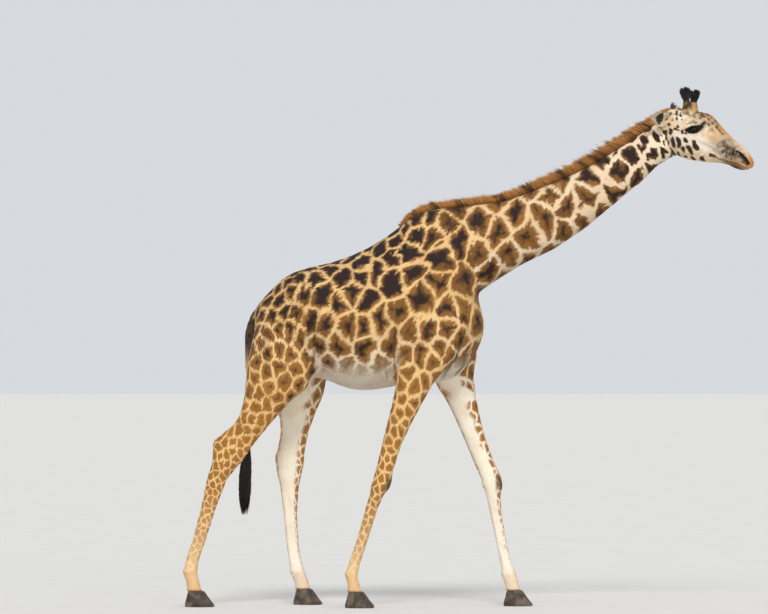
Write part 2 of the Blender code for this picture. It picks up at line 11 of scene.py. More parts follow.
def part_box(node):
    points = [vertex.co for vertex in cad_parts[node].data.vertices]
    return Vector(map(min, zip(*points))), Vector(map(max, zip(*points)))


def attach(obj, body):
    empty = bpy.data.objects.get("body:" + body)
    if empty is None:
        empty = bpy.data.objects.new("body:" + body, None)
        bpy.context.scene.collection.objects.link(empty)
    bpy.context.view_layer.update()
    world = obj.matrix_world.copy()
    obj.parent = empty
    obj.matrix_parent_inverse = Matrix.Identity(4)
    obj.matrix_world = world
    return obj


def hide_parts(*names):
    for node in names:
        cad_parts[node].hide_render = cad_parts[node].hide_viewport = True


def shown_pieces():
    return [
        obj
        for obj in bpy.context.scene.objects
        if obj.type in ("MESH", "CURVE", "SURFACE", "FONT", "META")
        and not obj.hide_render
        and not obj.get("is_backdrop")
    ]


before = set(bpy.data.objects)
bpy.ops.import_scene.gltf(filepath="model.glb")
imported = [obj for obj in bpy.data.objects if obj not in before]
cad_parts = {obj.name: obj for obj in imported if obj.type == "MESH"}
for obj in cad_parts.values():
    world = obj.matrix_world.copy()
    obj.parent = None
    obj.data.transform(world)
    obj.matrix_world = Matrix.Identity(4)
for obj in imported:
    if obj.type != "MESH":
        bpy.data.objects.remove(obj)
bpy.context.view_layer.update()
scene = bpy.context.scene
scene.view_settings.view_transform = "Standard"
rng = np.random.default_rng(11)
sideSign = {"right": -1, "left": 1}
print("frame loaded", len(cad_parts), "nodes")


def srgb(red, green, blue):
    # 0..255 paint values to the linear ones that a shader takes
    shares = [value / 255.0 for value in (red, green, blue)]
    return (*(v / 12.92 if v <= 0.04045 else ((v + 0.055) / 1.055) ** 2.4 for v in shares), 1.0)


def step(low, high, value):
    # smooth 0 to 1 between low and high; low may be the larger one
    share = np.clip((np.asarray(value, float) - low) / (high - low), 0.0, 1.0)
    return share * share * (3.0 - 2.0 * share)


def bell(value, middle, width):
    # 1 at the middle, softly down on both sides
    return np.exp(-(((value - middle) / width) ** 2))


def mix(a, b, share):
    return a + (b - a) * share


def unit(vectors):
    size = np.linalg.norm(vectors, axis=-1, keepdims=True)
    return vectors / np.maximum(size, 1e-9)


def columns(*values):
    # numbers side by side, one row for each point
    return np.stack(np.broadcast_arrays(*values), -1)


def flatOn(points, normals):
    # what is left of directions once they lie flat on the skin
    return points - (points * normals).sum(-1)[:, None] * normals


def fill(items, key, values, kind=np.float32):
    items.foreach_set(key, np.ascontiguousarray(values, kind).ravel())


def newObject(name, data):
    thing = bpy.data.objects.new(name, data)
    scene.collection.objects.link(thing)
    return thing


def arraysOf(mesh, keep=False):
    # points and triangles of a mesh, which is thrown away unless it is kept
    mesh.calc_loop_triangles()
    points = np.empty(len(mesh.vertices) * 3, np.float32)
    triangles = np.empty(len(mesh.loop_triangles) * 3, np.int32)
    mesh.vertices.foreach_get("co", points)
    mesh.loop_triangles.foreach_get("vertices", triangles)
    if not keep:
        bpy.data.meshes.remove(mesh)
    return points.reshape(-1, 3).astype(float), triangles.reshape(-1, 3)


def meshFromArrays(name, points, triangles):
    mesh = bpy.data.meshes.new(name)
    mesh.vertices.add(len(points))
    mesh.loops.add(triangles.size)
    mesh.polygons.add(len(triangles))
    fill(mesh.vertices, "co", points)
    fill(mesh.loops, "vertex_index", triangles, np.int32)
    fill(mesh.polygons, "loop_start", np.arange(0, triangles.size, 3), np.int32)
    mesh.update(calc_edges=True)
    mesh.shade_smooth()
    return mesh


def addField(mesh, name, values):
    fill(mesh.attributes.new(name, "FLOAT_COLOR", "POINT").data, "color", values)


def addMap(mesh, places, offsets, triangles):
    # spreads the places over the map, each tuft or strand as a small patch of its own
    low, high = places.min(0), places.max(0)
    places = (places - low) / np.maximum(high - low, 1e-6) * 0.99 + 0.005
    corners = (places[:, None, :] + offsets).reshape(-1, 2)[triangles]
    fill(mesh.uv_layers.new(name="OFBake").data, "uv", corners)


def addPiece(name, mesh, material, nodes=()):
    piece = newObject(name, mesh)
    mesh.materials.append(material)
    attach(piece, "root")
    if nodes:
        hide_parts(*nodes)


def normalsOf(points, triangles):
    a, b, c = (points[triangles[:, k]] for k in range(3))
    across = np.cross(b - a, c - a)
    total = np.zeros_like(points)
    for k in range(3):
        for axis in range(3):
            total[:, axis] += np.bincount(triangles[:, k], across[:, axis], len(points))
    return unit(total)


def edgesOf(triangles):
    pairs = np.concatenate([triangles[:, [0, 1]], triangles[:, [1, 2]], triangles[:, [2, 0]]])
    pairs.sort(axis=1)
    return np.unique(pairs, axis=0)


def spread(values, edges, weight, rounds):
    # averages each vertex with its neighbours, as often as rounds says
    if values.ndim == 1:
        return spread(values[:, None], edges, weight, rounds)[:, 0]
    count = len(values)
    first, second = edges[:, 0], edges[:, 1]
    degree = np.bincount(first, minlength=count) + np.bincount(second, minlength=count)
    degree = np.maximum(degree, 1)[:, None]
    values = values.astype(float).copy()
    weight = np.broadcast_to(np.asarray(weight, float), (count,))[:, None]
    for _ in range(rounds):
        near = np.empty_like(values)
        for k in range(values.shape[1]):
            near[:, k] = np.bincount(first, values[second, k], count)
            near[:, k] += np.bincount(second, values[first, k], count)
        values += weight * (near / degree - values)
    return values


def softened(points, edges, weight, rounds):
    # smooths away facets and gives back the volume that smoothing takes
    smooth = spread(points, edges, weight, rounds)
    return smooth + spread(points - smooth, edges, weight, rounds)


def joined(parts):
    starts = np.cumsum([0] + [len(points) for points, _ in parts])
    triangles = [part[1] + start for part, start in zip(parts, starts)]
    return np.concatenate([points for points, _ in parts]), np.concatenate(triangles)


def treeOf(points, triangles):
    return BVHTree.FromPolygons(points.tolist(), triangles.tolist())


def nodeArrays(name, grow=0.0):
    points, triangles = arraysOf(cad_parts[name].data, keep=True)
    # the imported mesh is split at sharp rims: weld it, so that growing it opens no cracks
    _, first, back = np.unique(
        np.round(points, 5), axis=0, return_index=True, return_inverse=True
    )
    points, triangles = points[first], back.reshape(-1)[triangles]
    if grow:
        points = points + normalsOf(points, triangles) * grow
    return points, triangles


def voxelMesh(points, triangles, voxel):
    # one closed skin of quads over all that is given
    drafted = meshFromArrays("voxelDraft", points, triangles)
    holder = newObject("voxelHolder", drafted)
    remesh = holder.modifiers.new("voxels", "REMESH")
    remesh.mode, remesh.voxel_size = "VOXEL", voxel
    shaped = holder.evaluated_get(bpy.context.evaluated_depsgraph_get())
    made = bpy.data.meshes.new_from_object(shaped)
    bpy.data.objects.remove(holder)
    bpy.data.meshes.remove(drafted)
    return made


def keepBiggestIsland(bm):
    left, best = set(bm.verts), []
    while left:
        seed = left.pop()
        found, edge = [seed], [seed]
        while edge:
            vert = edge.pop()
            for link in vert.link_edges:
                other = link.other_vert(vert)
                if other in left:
                    left.discard(other)
                    found.append(other)
                    edge.append(other)
        if len(found) > len(best):
            best = found
    keep = set(best)
    bmesh.ops.delete(bm, geom=[v for v in bm.verts if v not in keep], context="VERTS")


def cutFiner(mesh, wanted, oneIsland=False):
    # splits the edges of the wanted faces once; the mesh given is thrown away
    bm = bmesh.new()
    bm.from_mesh(mesh)
    bpy.data.meshes.remove(mesh)
    if oneIsland:
        keepBiggestIsland(bm)
    edges = {e for face in bm.faces if wanted(face.calc_center_median()) for e in face.edges}
    bmesh.ops.subdivide_edges(bm, edges=list(edges), cuts=1, use_grid_fill=True)
    bmesh.ops.triangulate(bm, faces=bm.faces)
    finer = bpy.data.meshes.new("finer")
    bm.to_mesh(finer)
    bm.free()
    return arraysOf(finer)


headMake = {
    "start": (1.3525, 0.0, 3.206),  # behind the ears, on the head's own long axis
    "down": math.radians(27),
    "turn": math.radians(-18),
}
headStart = np.array(Vector(headMake["start"]))
headMatrix = Matrix.Rotation(headMake["turn"], 4, "Z") @ Matrix.Rotation(headMake["down"], 4, "Y")
headRotation = np.array(headMatrix.to_3x3())


def toHead(points):
    # head frame: x to the nose, y to the animal's left, z up through the skull
    return (points - headStart) @ headRotation


def fromHead(points):
    return points @ headRotation.T + headStart


limbNames = ["foreleg_right", "foreleg_left", "hindleg_right", "hindleg_left"]
limbParts = [limb + part for limb in limbNames for part in ("_upper", "_lower")]
fleshNodes = ["trunk", "neck", "head", "tail"] + limbParts
regionOf = {"trunk": 0, "neck": 1, "head": 2, "tail": 7, "eye_right": 2, "eye_left": 2}
regionOf.update({name: 3 + number // 2 for number, name in enumerate(limbParts)})
earRegion = {"right": 8, "left": 9}


def onLimb(region):
    return (region >= 3) & (region <= 6)


def limbLine(limb):
    # the middle of a leg from top to bottom, read from its own solids
    points = np.concatenate([nodeArrays(limb + part)[0] for part in ("_upper", "_lower")])
    levels = np.linspace(points[:, 2].min() + 0.01, points[:, 2].max() - 0.05, 40)
    rows = []
    for level in levels:
        near = points[np.abs(points[:, 2] - level) < 0.06]
        if len(near) > 3:
            rows.append((level, (near[:, 0].min() + near[:, 0].max()) / 2, near[:, 1].mean()))
    return np.array(rows)


limbLines = {3 + number: limbLine(limb) for number, limb in enumerate(limbNames)}
bodyAxis = np.array([(-1.60, 1.84), (-1.10, 1.90), (-0.60, 1.95), (-0.20, 2.10), (0.06, 2.30)])
neckAxis = np.array(
    [(-0.15, 2.36), (0.20, 2.47), (0.52, 2.65), (0.85, 2.88), (1.20, 3.10), (1.50, 3.26)]
)


def limbMiddle(height, number):
    line = limbLines[number]
    return np.interp(height, line[:, 0], line[:, 1]), np.interp(height, line[:, 0], line[:, 2])


def alongLine(points, line):
    # arc length along a side-view line, its direction, and the angle round it
    best = np.full(len(points), 1e9)
    along, angle = np.zeros(len(points)), np.zeros(len(points))
    direction = np.zeros((len(points), 3))
    run = 0.0
    for number, (start, end) in enumerate(zip(line[:-1], line[1:])):
        way = end - start
        length = float(np.hypot(*way))
        way = way / length
        offset = points[:, [0, 2]] - start
        low = -9.0 if number == 0 else 0.0
        high = 9.0 if number == len(line) - 2 else length
        held = np.clip(offset @ way, low, high)
        gap = np.hypot(*(offset - held[:, None] * way).T)
        pick = gap < best
        rise = offset @ np.array([-way[1], way[0]])
        best = np.where(pick, gap, best)
        along = np.where(pick, run + held, along)
        angle = np.where(pick, np.arctan2(points[:, 1], rise), angle)
        direction[pick] = (way[0], 0.0, way[1])
        run += length
    return along, angle, direction


def neckRun(points):
    return alongLine(points, neckAxis)[0]


def chartPlace(points, region):
    # every point's place on the unwrapped skin: metres along, turns round (-0.5..0.5)
    along, turn = np.zeros(len(points)), np.zeros(len(points))
    for number in np.unique(region[region < 8]):
        pick = region == number
        some = points[pick]
        if number in (0, 1):
            run, angle, _ = alongLine(some, bodyAxis if number == 0 else neckAxis)
        elif number == 2:
            local = toHead(some)
            run = local[:, 0]
            middle = np.interp(run, [-0.1, 0.1, 0.3], [0.05, 0.06, 0.08])
            angle = np.arctan2(local[:, 1], local[:, 2] - middle)
        else:
            run = some[:, 2]
            middleX, middleY = (-1.515, 0.0) if number == 7 else limbMiddle(run, number)
            angle = np.arctan2(some[:, 1] - middleY, some[:, 0] - middleX)
        along[pick], turn[pick] = run, angle / (2 * math.pi)
    return along, turn


eyeMake = {
    "place": np.array((0.186, 0.088, 0.124)),  # left eye, head frame
    "radius": 0.031,
    "halfLength": 0.0285,
    "upperHeight": 0.0195,
    "lowerHeight": 0.0215,
    "tilt": math.radians(33),  # front corner higher, measured from the head's axis
    "lid": 0.0036,
    "snap": 0.0019,  # skin nearer to the rim than this moves on to it
    "snapHalf": 0.0265,
}
skinMake = {
    "voxel": 0.0156,
    "grow": 0.0015,  # so that the solids' hairline gaps close
    "legFine": 1.15,  # the skin is finer below this height
    "bodyRounds": 56,
    "coatDepthBody": 0.0045,
    "coatDepthLegs": 0.0030,
    "coatDepthHead": 0.0022,
}
skinNodes = fleshNodes + ["eye_right", "eye_left"]
cadParts = [nodeArrays(name) for name in skinNodes]
cadRegion = np.repeat([regionOf[name] for name in skinNodes], [len(part[1]) for part in cadParts])
cadTree = treeOf(*joined(cadParts))


def nearestOnCad(points):
    found = [cadTree.find_nearest(point) for point in points.tolist()]
    return np.array([row[0] for row in found]), cadRegion[[row[2] for row in found]]


def fineHere(centre):
    if centre.z < skinMake["legFine"]:
        return True
    return centre.x > 1.15 and toHead(np.array([centre]))[0, 0] > -0.03


def finestHere(centre):
    # round eyes, nostrils and lips
    if centre.x < 1.35 or centre.z < 2.8:
        return False
    x, y, z = toHead(np.array([centre]))[0]
    eye = math.hypot(x - eyeMake["place"][0], z - eyeMake["place"][2]) < 0.058
    return x > 0.50 or (eye and abs(y) > 0.05) or (x > 0.33 and abs(z - 0.037) < 0.016)


def makeSkin():
    grown = joined([nodeArrays(name, skinMake["grow"]) for name in skinNodes])
    points, triangles = cutFiner(voxelMesh(*grown, skinMake["voxel"]), fineHere, oneIsland=True)
    onCad, region = nearestOnCad(points)
    fine = (points[:, 2] < skinMake["legFine"]) | (region == 2)
    points[fine] = onCad[fine]
    low = points[:, 2] < skinMake["legFine"]
    # how freely each part is smoothed
    weight = np.where(region == 1, 0.42, 0.5)
    weight = np.where(onLimb(region), mix(0.09, 0.5, step(1.20, 1.75, points[:, 2])), weight)
    for pick, amount in ((low, 0.10), (region == 2, 0.20), (region == 7, 0.06)):
        weight = np.where(pick, amount, weight)
    edges = edgesOf(triangles)
    points = softened(points, edges, spread(weight, edges, 0.5, 6), skinMake["bodyRounds"])
    points, triangles = cutFiner(meshFromArrays("draft", points, triangles), finestHere)
    edges = edgesOf(triangles)
    soft = np.where((toHead(points)[:, 0] > 0.0) & (points[:, 0] > 1.3), 0.5, 0.0)
    points = softened(points, edges, soft, 5)
    return points, triangles, edges, nearestOnCad(points)[1]


skinPoints, skinTriangles, skinEdges, skinRegion = makeSkin()
print("skin", len(skinPoints), "points", len(skinTriangles), "triangles")


def tilted(x, z, turn):
    # a place in the side view, seen from axes turned by an angle
    cos, sin = math.cos(turn), math.sin(turn)
    return x * cos + z * sin, z * cos - x * sin


def bump(points, centre, radii, turn=0.0):
    # 1 at the centre, softly down to 0 at the radii
    offset = points - np.array(centre)
    along, up = tilted(offset[:, 0], offset[:, 2], turn)
    return np.exp(-1.6 * ((columns(along, offset[:, 1], up) / np.array(radii)) ** 2).sum(1))


def lineGap(points, path):
    # distance in the side view to a run of points, and the share of the run passed
    best, share = np.full(len(points), 9.0), np.zeros(len(points))
    path = np.array(path, float)
    pieces = len(path) - 1
    for number in range(pieces):
        start, way = path[number], path[number + 1] - path[number]
        offset = points[:, (0, 2)] - start
        part = np.clip(offset @ way / (way @ way), 0.0, 1.0)
        gap = np.linalg.norm(offset - part[:, None] * way, axis=1)
        share = np.where(gap < best, (number + part) / pieces, share)
        best = np.minimum(best, gap)
    return best, share


def ridge(points, path, width, fadeEnds=0.2):
    gap, share = lineGap(points, path)
    ends = step(0.0, fadeEnds, share) * step(1.0, 1.0 - fadeEnds, share)
    return bell(gap, 0.0, width) * (0.15 + 0.85 * ends)


bodyForms = {
    # side view centre, radii, height (a hollow is below 0) and lean; both sides alike
    "shoulder blade": ((-0.27, 2.20), (0.06, 0.26), 0.010, 0.20),
    "shoulder blade front": ((-0.15, 2.28), (0.05, 0.20), 0.006, 0.20),
    "triceps": ((-0.33, 1.86), (0.13, 0.14), 0.012, 0.0),
    "point of shoulder": ((-0.02, 1.95), (0.09, 0.11), 0.012, 0.0),
    "hip bone": ((-1.02, 2.17), (0.06, 0.05), 0.014, 0.0),
    "pin bone": ((-1.40, 2.02), (0.05, 0.05), 0.012, 0.0),
    "thigh": ((-1.25, 1.78), (0.14, 0.17), 0.012, 0.0),
    "belly": ((-0.66, 1.62), (0.26, 0.12), 0.010, 0.0),
    "behind the shoulder": ((-0.46, 2.02), (0.05, 0.22), -0.009, 0.10),
    "flank": ((-0.92, 1.98), (0.07, 0.13), -0.014, 0.0),
    "before the hip": ((-0.90, 2.18), (0.08, 0.05), -0.009, 0.0),
    "before the blade": ((-0.06, 2.38), (0.07, 0.12), -0.008, 0.3),
    "rump side": ((-1.34, 2.12), (0.06, 0.05), -0.006, 0.0),
}
bodyFolds = {
    # side view run, width, depth, and whether painted shade darkens the coat along it
    "flank": ([(-1.000, 2.05), (-1.022, 1.90), (-1.030, 1.72), (-1.075, 1.53)], 0.020, 0.026, True),
    "before the flank": ([(-0.955, 1.86), (-0.975, 1.74), (-0.985, 1.60)], 0.018, 0.009, True),
    "thigh muscle": ([(-1.36, 1.95), (-1.37, 1.75), (-1.33, 1.55)], 0.026, 0.009, True),
    "elbow": ([(-0.460, 1.95), (-0.478, 1.72), (-0.485, 1.54)], 0.018, 0.022, True),
    "behind the elbow": ([(-0.520, 1.74), (-0.545, 1.62), (-0.535, 1.54)], 0.017, 0.011, True),
    "breast": ([(-0.005, 1.88), (-0.070, 1.70), (-0.190, 1.53)], 0.016, 0.017, True),
    "breast front": ([(0.045, 1.80), (-0.020, 1.66), (-0.130, 1.52)], 0.015, 0.013, True),
    "breast back": ([(-0.060, 1.90), (-0.130, 1.72), (-0.235, 1.57)], 0.015, 0.012, False),
    "jugular": ([(0.02, 2.24), (0.40, 2.47), (0.80, 2.74), (1.18, 3.00)], 0.030, 0.008, False),
    "neck muscle": ([(-0.10, 2.48), (0.30, 2.60), (0.75, 2.86), (1.15, 3.12)], 0.036, 0.006, False),
}
ribMake = {"first": -0.50, "gap": 0.062, "count": 7, "width": 0.018, "height": 0.0022, "lean": 0.16}


def sculptBody(points, normals, region):
    side = np.abs(normals[:, 1]) ** 0.5  # forms of the flanks fade to the back and belly
    outside = (region < 3) | (normals[:, 1] * points[:, 1] > 0)
    shown = ((region <= 1) | (onLimb(region) & (points[:, 2] > 1.45))) & outside
    move = np.zeros(len(points))
    for (x, z), (wide, high), height, lean in bodyForms.values():
        shape = bump(points, (x, 0, z), (wide, 9.0, high), lean)
        move += np.where(shown, shape * height * side, 0)
    for path, width, depth, _ in bodyFolds.values():
        shape = ridge(points, path, width) - ridge(points, path, width * 2.3) * 0.35
        move -= np.where(shown & (np.abs(points[:, 1]) > 0.03), shape * depth * side, 0)
    for number in range(ribMake["count"]):
        x = ribMake["first"] - number * ribMake["gap"]
        path = [(x + 0.05, 2.20), (x, 1.95), (x - ribMake["lean"] * 0.4, 1.72)]
        shape = ridge(points, path, ribMake["width"], fadeEnds=0.35)
        move += np.where(region <= 1, shape * ribMake["height"] * side, 0)
    # backbone: a low crest with a hollow on each side
    crest = bell(points[:, 1], 0.0, 0.030) * step(0.5, 0.95, normals[:, 2])
    move += np.where((region == 0) & (points[:, 0] < -0.35), crest * 0.004, 0)
    # slack skin under the throat and along the windpipe
    under = step(-0.3, -0.9, normals[:, 2]) * bell(points[:, 1], 0.0, 0.035)
    move += np.where(region == 1, under * 0.004, 0)
    # the root of the tail runs on from the rump without a corner
    return move - bump(points, (-1.525, 0.0, 1.925), (0.060, 0.09, 0.060)) * 0.020


legJoints = {
    # height of the joint, what it is, height of the fetlock
    3: (0.845, "knee", 0.225), 4: (0.845, "knee", 0.215),
    5: (1.045, "hock", 0.238), 6: (0.965, "hock", 0.228),
}
legForms = {
    # measured from, where round the leg and how it fades in, middle and width in height, amount
    "knee": [
        ("joint", "front", (0.2, 0.9), 0.0, 0.050, 0.006),  # knee cap
        ("joint", "back", (0.3, 0.9), -0.02, 0.022, 0.006),
        ("joint", "side", (0.4, 0.9), 0.0, 0.035, 0.004),
        ("joint", "front", (0.2, 0.9), 0.085, 0.03, -0.003),
        ("joint", "front", (0.2, 0.9), -0.085, 0.03, -0.003),
        ("joint", "front", (0.0, 0.8), 0.40, 0.14, 0.004),  # forearm muscle
        ("joint", "side", (0.6, 1.0), 0.40, 0.14, -0.002),
    ],
    "hock": [
        ("joint", "back", (0.3, 0.9), 0.055, 0.030, 0.008),  # point of the hock
        ("joint", "middle", (0.75, 0.2), 0.20, 0.10, -0.009),  # hollows before the hamstring
        ("joint", "front", (0.3, 0.9), 0.0, 0.05, 0.003),
        ("joint", "side", (0.4, 0.9), 0.0, 0.03, 0.003),
    ],
    "both": [
        ("fetlock", "back", (0.2, 0.9), 0.0, 0.022, 0.006),
        ("fetlock", "side", (0.5, 0.9), 0.0, 0.022, 0.003),
        ("fetlock", "dew claws", (0.4, 0.8), -0.030, 0.010, 0.006),
        ("floor", "all round", (0.0, 1.0), 0.112, 0.010, 0.002),  # coronet
    ],
}


def limbFrame(points, number):
    # outward from the middle line: forward share, sideways share
    middleX, middleY = limbMiddle(points[:, 2], number)
    forward, aside = points[:, 0] - middleX, points[:, 1] - middleY
    size = np.maximum(np.hypot(forward, aside), 1e-6)
    return forward / size, aside / size * np.sign(middleY)


def sculptLimbs(points, region):
    z = points[:, 2]
    move = np.zeros(len(points))
    for number, (joint, kind, fetlock) in legJoints.items():
        forward, outward = limbFrame(points, number)
        broad = np.abs(outward)
        heights = {"joint": z - joint, "fetlock": z - fetlock, "floor": z}
        facing = {"front": forward, "back": -forward, "side": broad, "middle": np.abs(forward),
                  "dew claws": -forward, "all round": np.ones(len(points))}
        # cannon bone in front, tendons behind with a groove between
        cannon = step(joint - 0.10, joint - 0.20, z) * step(0.27, 0.33, z)
        shape = -cannon * bell(forward, -0.15, 0.35) * 0.0045
        # the toes part below the fetlock, in front and behind
        shape -= step(0.175, 0.12, z) * bell(outward, 0.0, 0.22) * 0.010
        for base, where, fades, middle, width, amount in legForms[kind] + legForms["both"]:
            around = step(*fades, facing[where])
            if where == "dew claws":
                around = around * bell(broad, 0.55, 0.22)
            shape += around * bell(heights[base], middle, width) * amount
        move += np.where(region == number, shape, 0)
    return move


headForms = [
    # head frame, both sides alike: centre, radii, height (a hollow is below 0)
    ((0.075, 0.100, 0.000), (0.075, 0.06, 0.060), 0.0065),  # chewing muscle
    ((0.030, 0.090, -0.060), (0.05, 0.06, 0.035), 0.004),  # jaw angle
    ((0.200, 0.085, 0.185), (0.055, 0.04, 0.022), 0.0075),  # brow
    ((0.290, 0.070, 0.095), (0.060, 0.04, 0.016), 0.004),  # ridge below the eye
    ((0.215, 0.000, 0.250), (0.045, 0.045, 0.03), 0.005),  # bump of the forehead
    ((0.470, 0.000, 0.180), (0.110, 0.020, 0.03), 0.003),  # bridge of the nose
    ((0.545, 0.055, 0.125), (0.030, 0.03, 0.014), 0.0060),  # upper rim of the nostril
    ((0.625, 0.035, 0.060), (0.030, 0.04, 0.018), 0.0035),  # upper lip
    ((0.600, 0.000, 0.014), (0.030, 0.04, 0.014), 0.0040),  # chin
    ((0.085, 0.054, 0.200), (0.065, 0.055, 0.05), 0.0110),  # roots of the horns
    ((0.110, 0.080, 0.185), (0.045, 0.05, 0.030), -0.0065),  # temple
    ((0.335, 0.070, 0.060), (0.085, 0.04, 0.030), -0.0060),  # cheek before the muscle
    ((0.375, 0.050, 0.150), (0.070, 0.03, 0.022), -0.0035),  # side of the nose
    ((0.500, 0.060, 0.070), (0.035, 0.03, 0.020), -0.0030),  # above the lip
    ((0.240, 0.000, -0.080), (0.160, 0.028, 0.03), -0.0060),  # between the jaw bones
    ((0.010, 0.085, 0.040), (0.022, 0.04, 0.060), -0.0040),  # behind the jaw
    ((0.585, 0.000, 0.135), (0.030, 0.010, 0.03), -0.0030),  # between the nostrils
]
headLines = {
    "jaw": [(0.04, -0.085), (0.16, -0.080), (0.30, -0.048), (0.46, 0.004)],
    "cheek crest": [(0.235, 0.080), (0.31, 0.075), (0.40, 0.070)],
    "nostril": [(0.519, 0.119), (0.555, 0.114), (0.592, 0.100), (0.622, 0.080)],
    "mouth": [(0.375, 0.006), (0.425, 0.013), (0.474, 0.024), (0.550, 0.044), (0.600, 0.044),
              (0.690, 0.060)],
}


def bothSides(local):
    return columns(local[:, 0], np.abs(local[:, 1]), local[:, 2])


def sculptHead(points, normals):
    # works in the head's own frame, both sides at once
    local = toHead(points)
    near = (local[:, 0] > -0.12) & (points[:, 0] > 1.2)
    folded = bothSides(local)
    x, y, z = folded.T
    lift = sum(bump(folded, centre, radii) * height for centre, radii, height in headForms)
    lift += ridge(folded, headLines["jaw"], 0.018) * step(0.02, 0.05, y) * 0.0030
    lift += ridge(folded, headLines["cheek crest"], 0.010) * step(0.03, 0.05, y) * 0.0040
    # nostril: a long slit with a raised rim
    gap, share = lineGap(folded, headLines["nostril"])
    onSide = step(0.014, 0.024, y)
    wide = 0.0045 + 0.0065 * np.interp(share, [0.0, 0.75, 1.0], [0.0, 1.0, 0.6])
    lift += bell(gap, wide * 1.9, 0.0045) * 0.0036 * onSide
    inside = step(wide * 1.25, wide * 0.55, gap) * onSide
    # mouth: parting, lips that roll towards it
    gap, _ = lineGap(folded, headLines["mouth"])
    parted = step(0.385, 0.425, x)
    lift += bell(gap, 0.008, 0.006) * parted * 0.0020
    inMouth = bell(gap, 0.0, 0.0030) * parted
    lift -= inMouth * 0.0075
    # wrinkles round the muzzle and lips
    wave = np.sin(x * 420 + np.sin(z * 70) * 2.0)
    lift += wave * step(0.42, 0.50, x) * step(0.62, 0.56, x) * 0.0006
    # the slit goes in along the head's own sideways and backward axes
    pull = columns(-inside * 0.006, -np.sign(local[:, 1]) * inside * 0.016, 0.0)
    move = normals * lift[:, None] + pull @ headRotation.T
    return points + near[:, None] * move, near * inside, near * inMouth


def eyeFrame(local, side):
    # along the lids, out of the head, up: measured from the middle of the ball
    offset = local - eyeMake["place"] * (1, side, 1)
    along, up = tilted(offset[:, 0], offset[:, 2], eyeMake["tilt"])
    return along, offset[:, 1] * side, up


def fromEyeFrame(along, out, up, side):
    along, up = tilted(along, up, -eyeMake["tilt"])
    return fromHead((columns(along, out, up) + eyeMake["place"]) * (1, side, 1))


def lidHeights(along):
    bow = np.clip(1.0 - (along / eyeMake["halfLength"]) ** 2, 0.0, 1.0)
    return eyeMake["upperHeight"] * bow ** 0.8, -eyeMake["lowerHeight"] * bow ** 1.1


def shapeLids(points):
    points = points.copy()
    radius = eyeMake["radius"]
    for side in (-1, 1):
        along, out, up = eyeFrame(toHead(points), side)
        close = (np.hypot(along, up) < 0.070) & (out > -0.02) & (points[:, 0] > 1.3)
        upper, lower = lidHeights(along)
        above = up > 0
        # lid rolls and the creases above and below them
        gap = np.where(above, up - np.maximum(upper, 0.001), lower - up)
        past = np.maximum(np.abs(along) - eyeMake["halfLength"], 0)
        gap = np.hypot(np.maximum(gap, 0), past)
        span = step(0.050, 0.028, np.abs(along))
        roll = bell(gap, 0.0050, 0.0060) * eyeMake["lid"] * np.where(above, 1.25, 0.55)
        crease = bell(gap, 0.0125, 0.0028) * 0.0028 * span
        crease += bell(gap, 0.0205, 0.0030) * 0.0016 * span * above
        opening = (up < upper) & (up > lower) & (np.abs(along) < eyeMake["halfLength"])
        # points near the rim move on to it, so that the opening has a clean edge
        middle = close & (np.abs(along) < eyeMake["snapHalf"])
        snapUp = middle & (np.abs(up - upper) < eyeMake["snap"])
        snapDown = middle & (np.abs(up - lower) < eyeMake["snap"]) & ~snapUp
        up = np.where(snapUp, upper, np.where(snapDown, lower, up))
        rim = snapUp | snapDown
        flat = along**2 + up**2
        shell = radius + 0.0010 + np.where(rim, 0.0, 0.0012) + roll
        onShell = np.sqrt(np.maximum(shell**2 - flat, 0))
        out = np.where(flat < shell**2, np.maximum(out, onShell), out)
        out = out + np.where(opening | rim, 0, roll * 0.5 - crease)
        sunk = np.sqrt(np.maximum((radius - 0.006) ** 2 - flat, 0.0))
        out = np.where(opening & ~rim, sunk, out)
        points[close] = fromEyeFrame(along, out, up, side)[close]
    return points


def makeHide():
    normals = normalsOf(skinPoints, skinTriangles)
    limb = (skinRegion >= 3) & (skinRegion <= 7) & (skinPoints[:, 2] < 1.5)
    depth = np.where(limb, skinMake["coatDepthLegs"], skinMake["coatDepthBody"])
    depth = np.where(skinRegion == 2, skinMake["coatDepthHead"], depth)
    move = sculptBody(skinPoints, normals, skinRegion) + sculptLimbs(skinPoints, skinRegion)
    points = skinPoints + normals * (move - spread(depth, skinEdges, 0.5, 4))[:, None]
    points, inNostril, inMouth = sculptHead(points, normalsOf(points, skinTriangles))
    return shapeLids(points), inNostril, inMouth


hidePoints, inNostril, inMouth = makeHide()
headTree = treeOf(hidePoints, skinTriangles)
print("skin sculpted")

earMake = {
    "base": (0.012, 0.074, 0.098),  # head frame, left side
    "reach": {"right": (-0.100, -0.148, -0.022), "left": (-0.150, 0.105, 0.088)},
    "opens": (0.72, 0.45, 0.10),
    "broader": 0.20,
    "hollow": 0.012,
    "voxel": 0.0046,
    "rounds": 7,
    "depth": 0.0008,
}


def smoothSolid(names, voxel, rounds, depth):
    # CAD solids with their facets rounded away
    points, triangles = arraysOf(voxelMesh(*joined([nodeArrays(name) for name in names]), voxel))
    points = softened(points, edgesOf(triangles), 0.5, rounds)
    return points - normalsOf(points, triangles) * depth, triangles


def earAxes(side):
    # in the head's frame: along the ear and its length, across it, out of its open side
    reach = np.array(earMake["reach"][side])
    opens = unit(np.array(earMake["opens"]) * (1, sideSign[side], 1))
    length = np.linalg.norm(reach)
    return reach / length, length, unit(np.cross(reach, opens)), opens


def earFrame(points, side):
    # share of the ear's length, place across it, and the way it opens
    way, length, across, opens = earAxes(side)
    local = toHead(points) - np.array(earMake["base"]) * (1, sideSign[side], 1)
    return local @ way / length, local @ across, headRotation @ opens


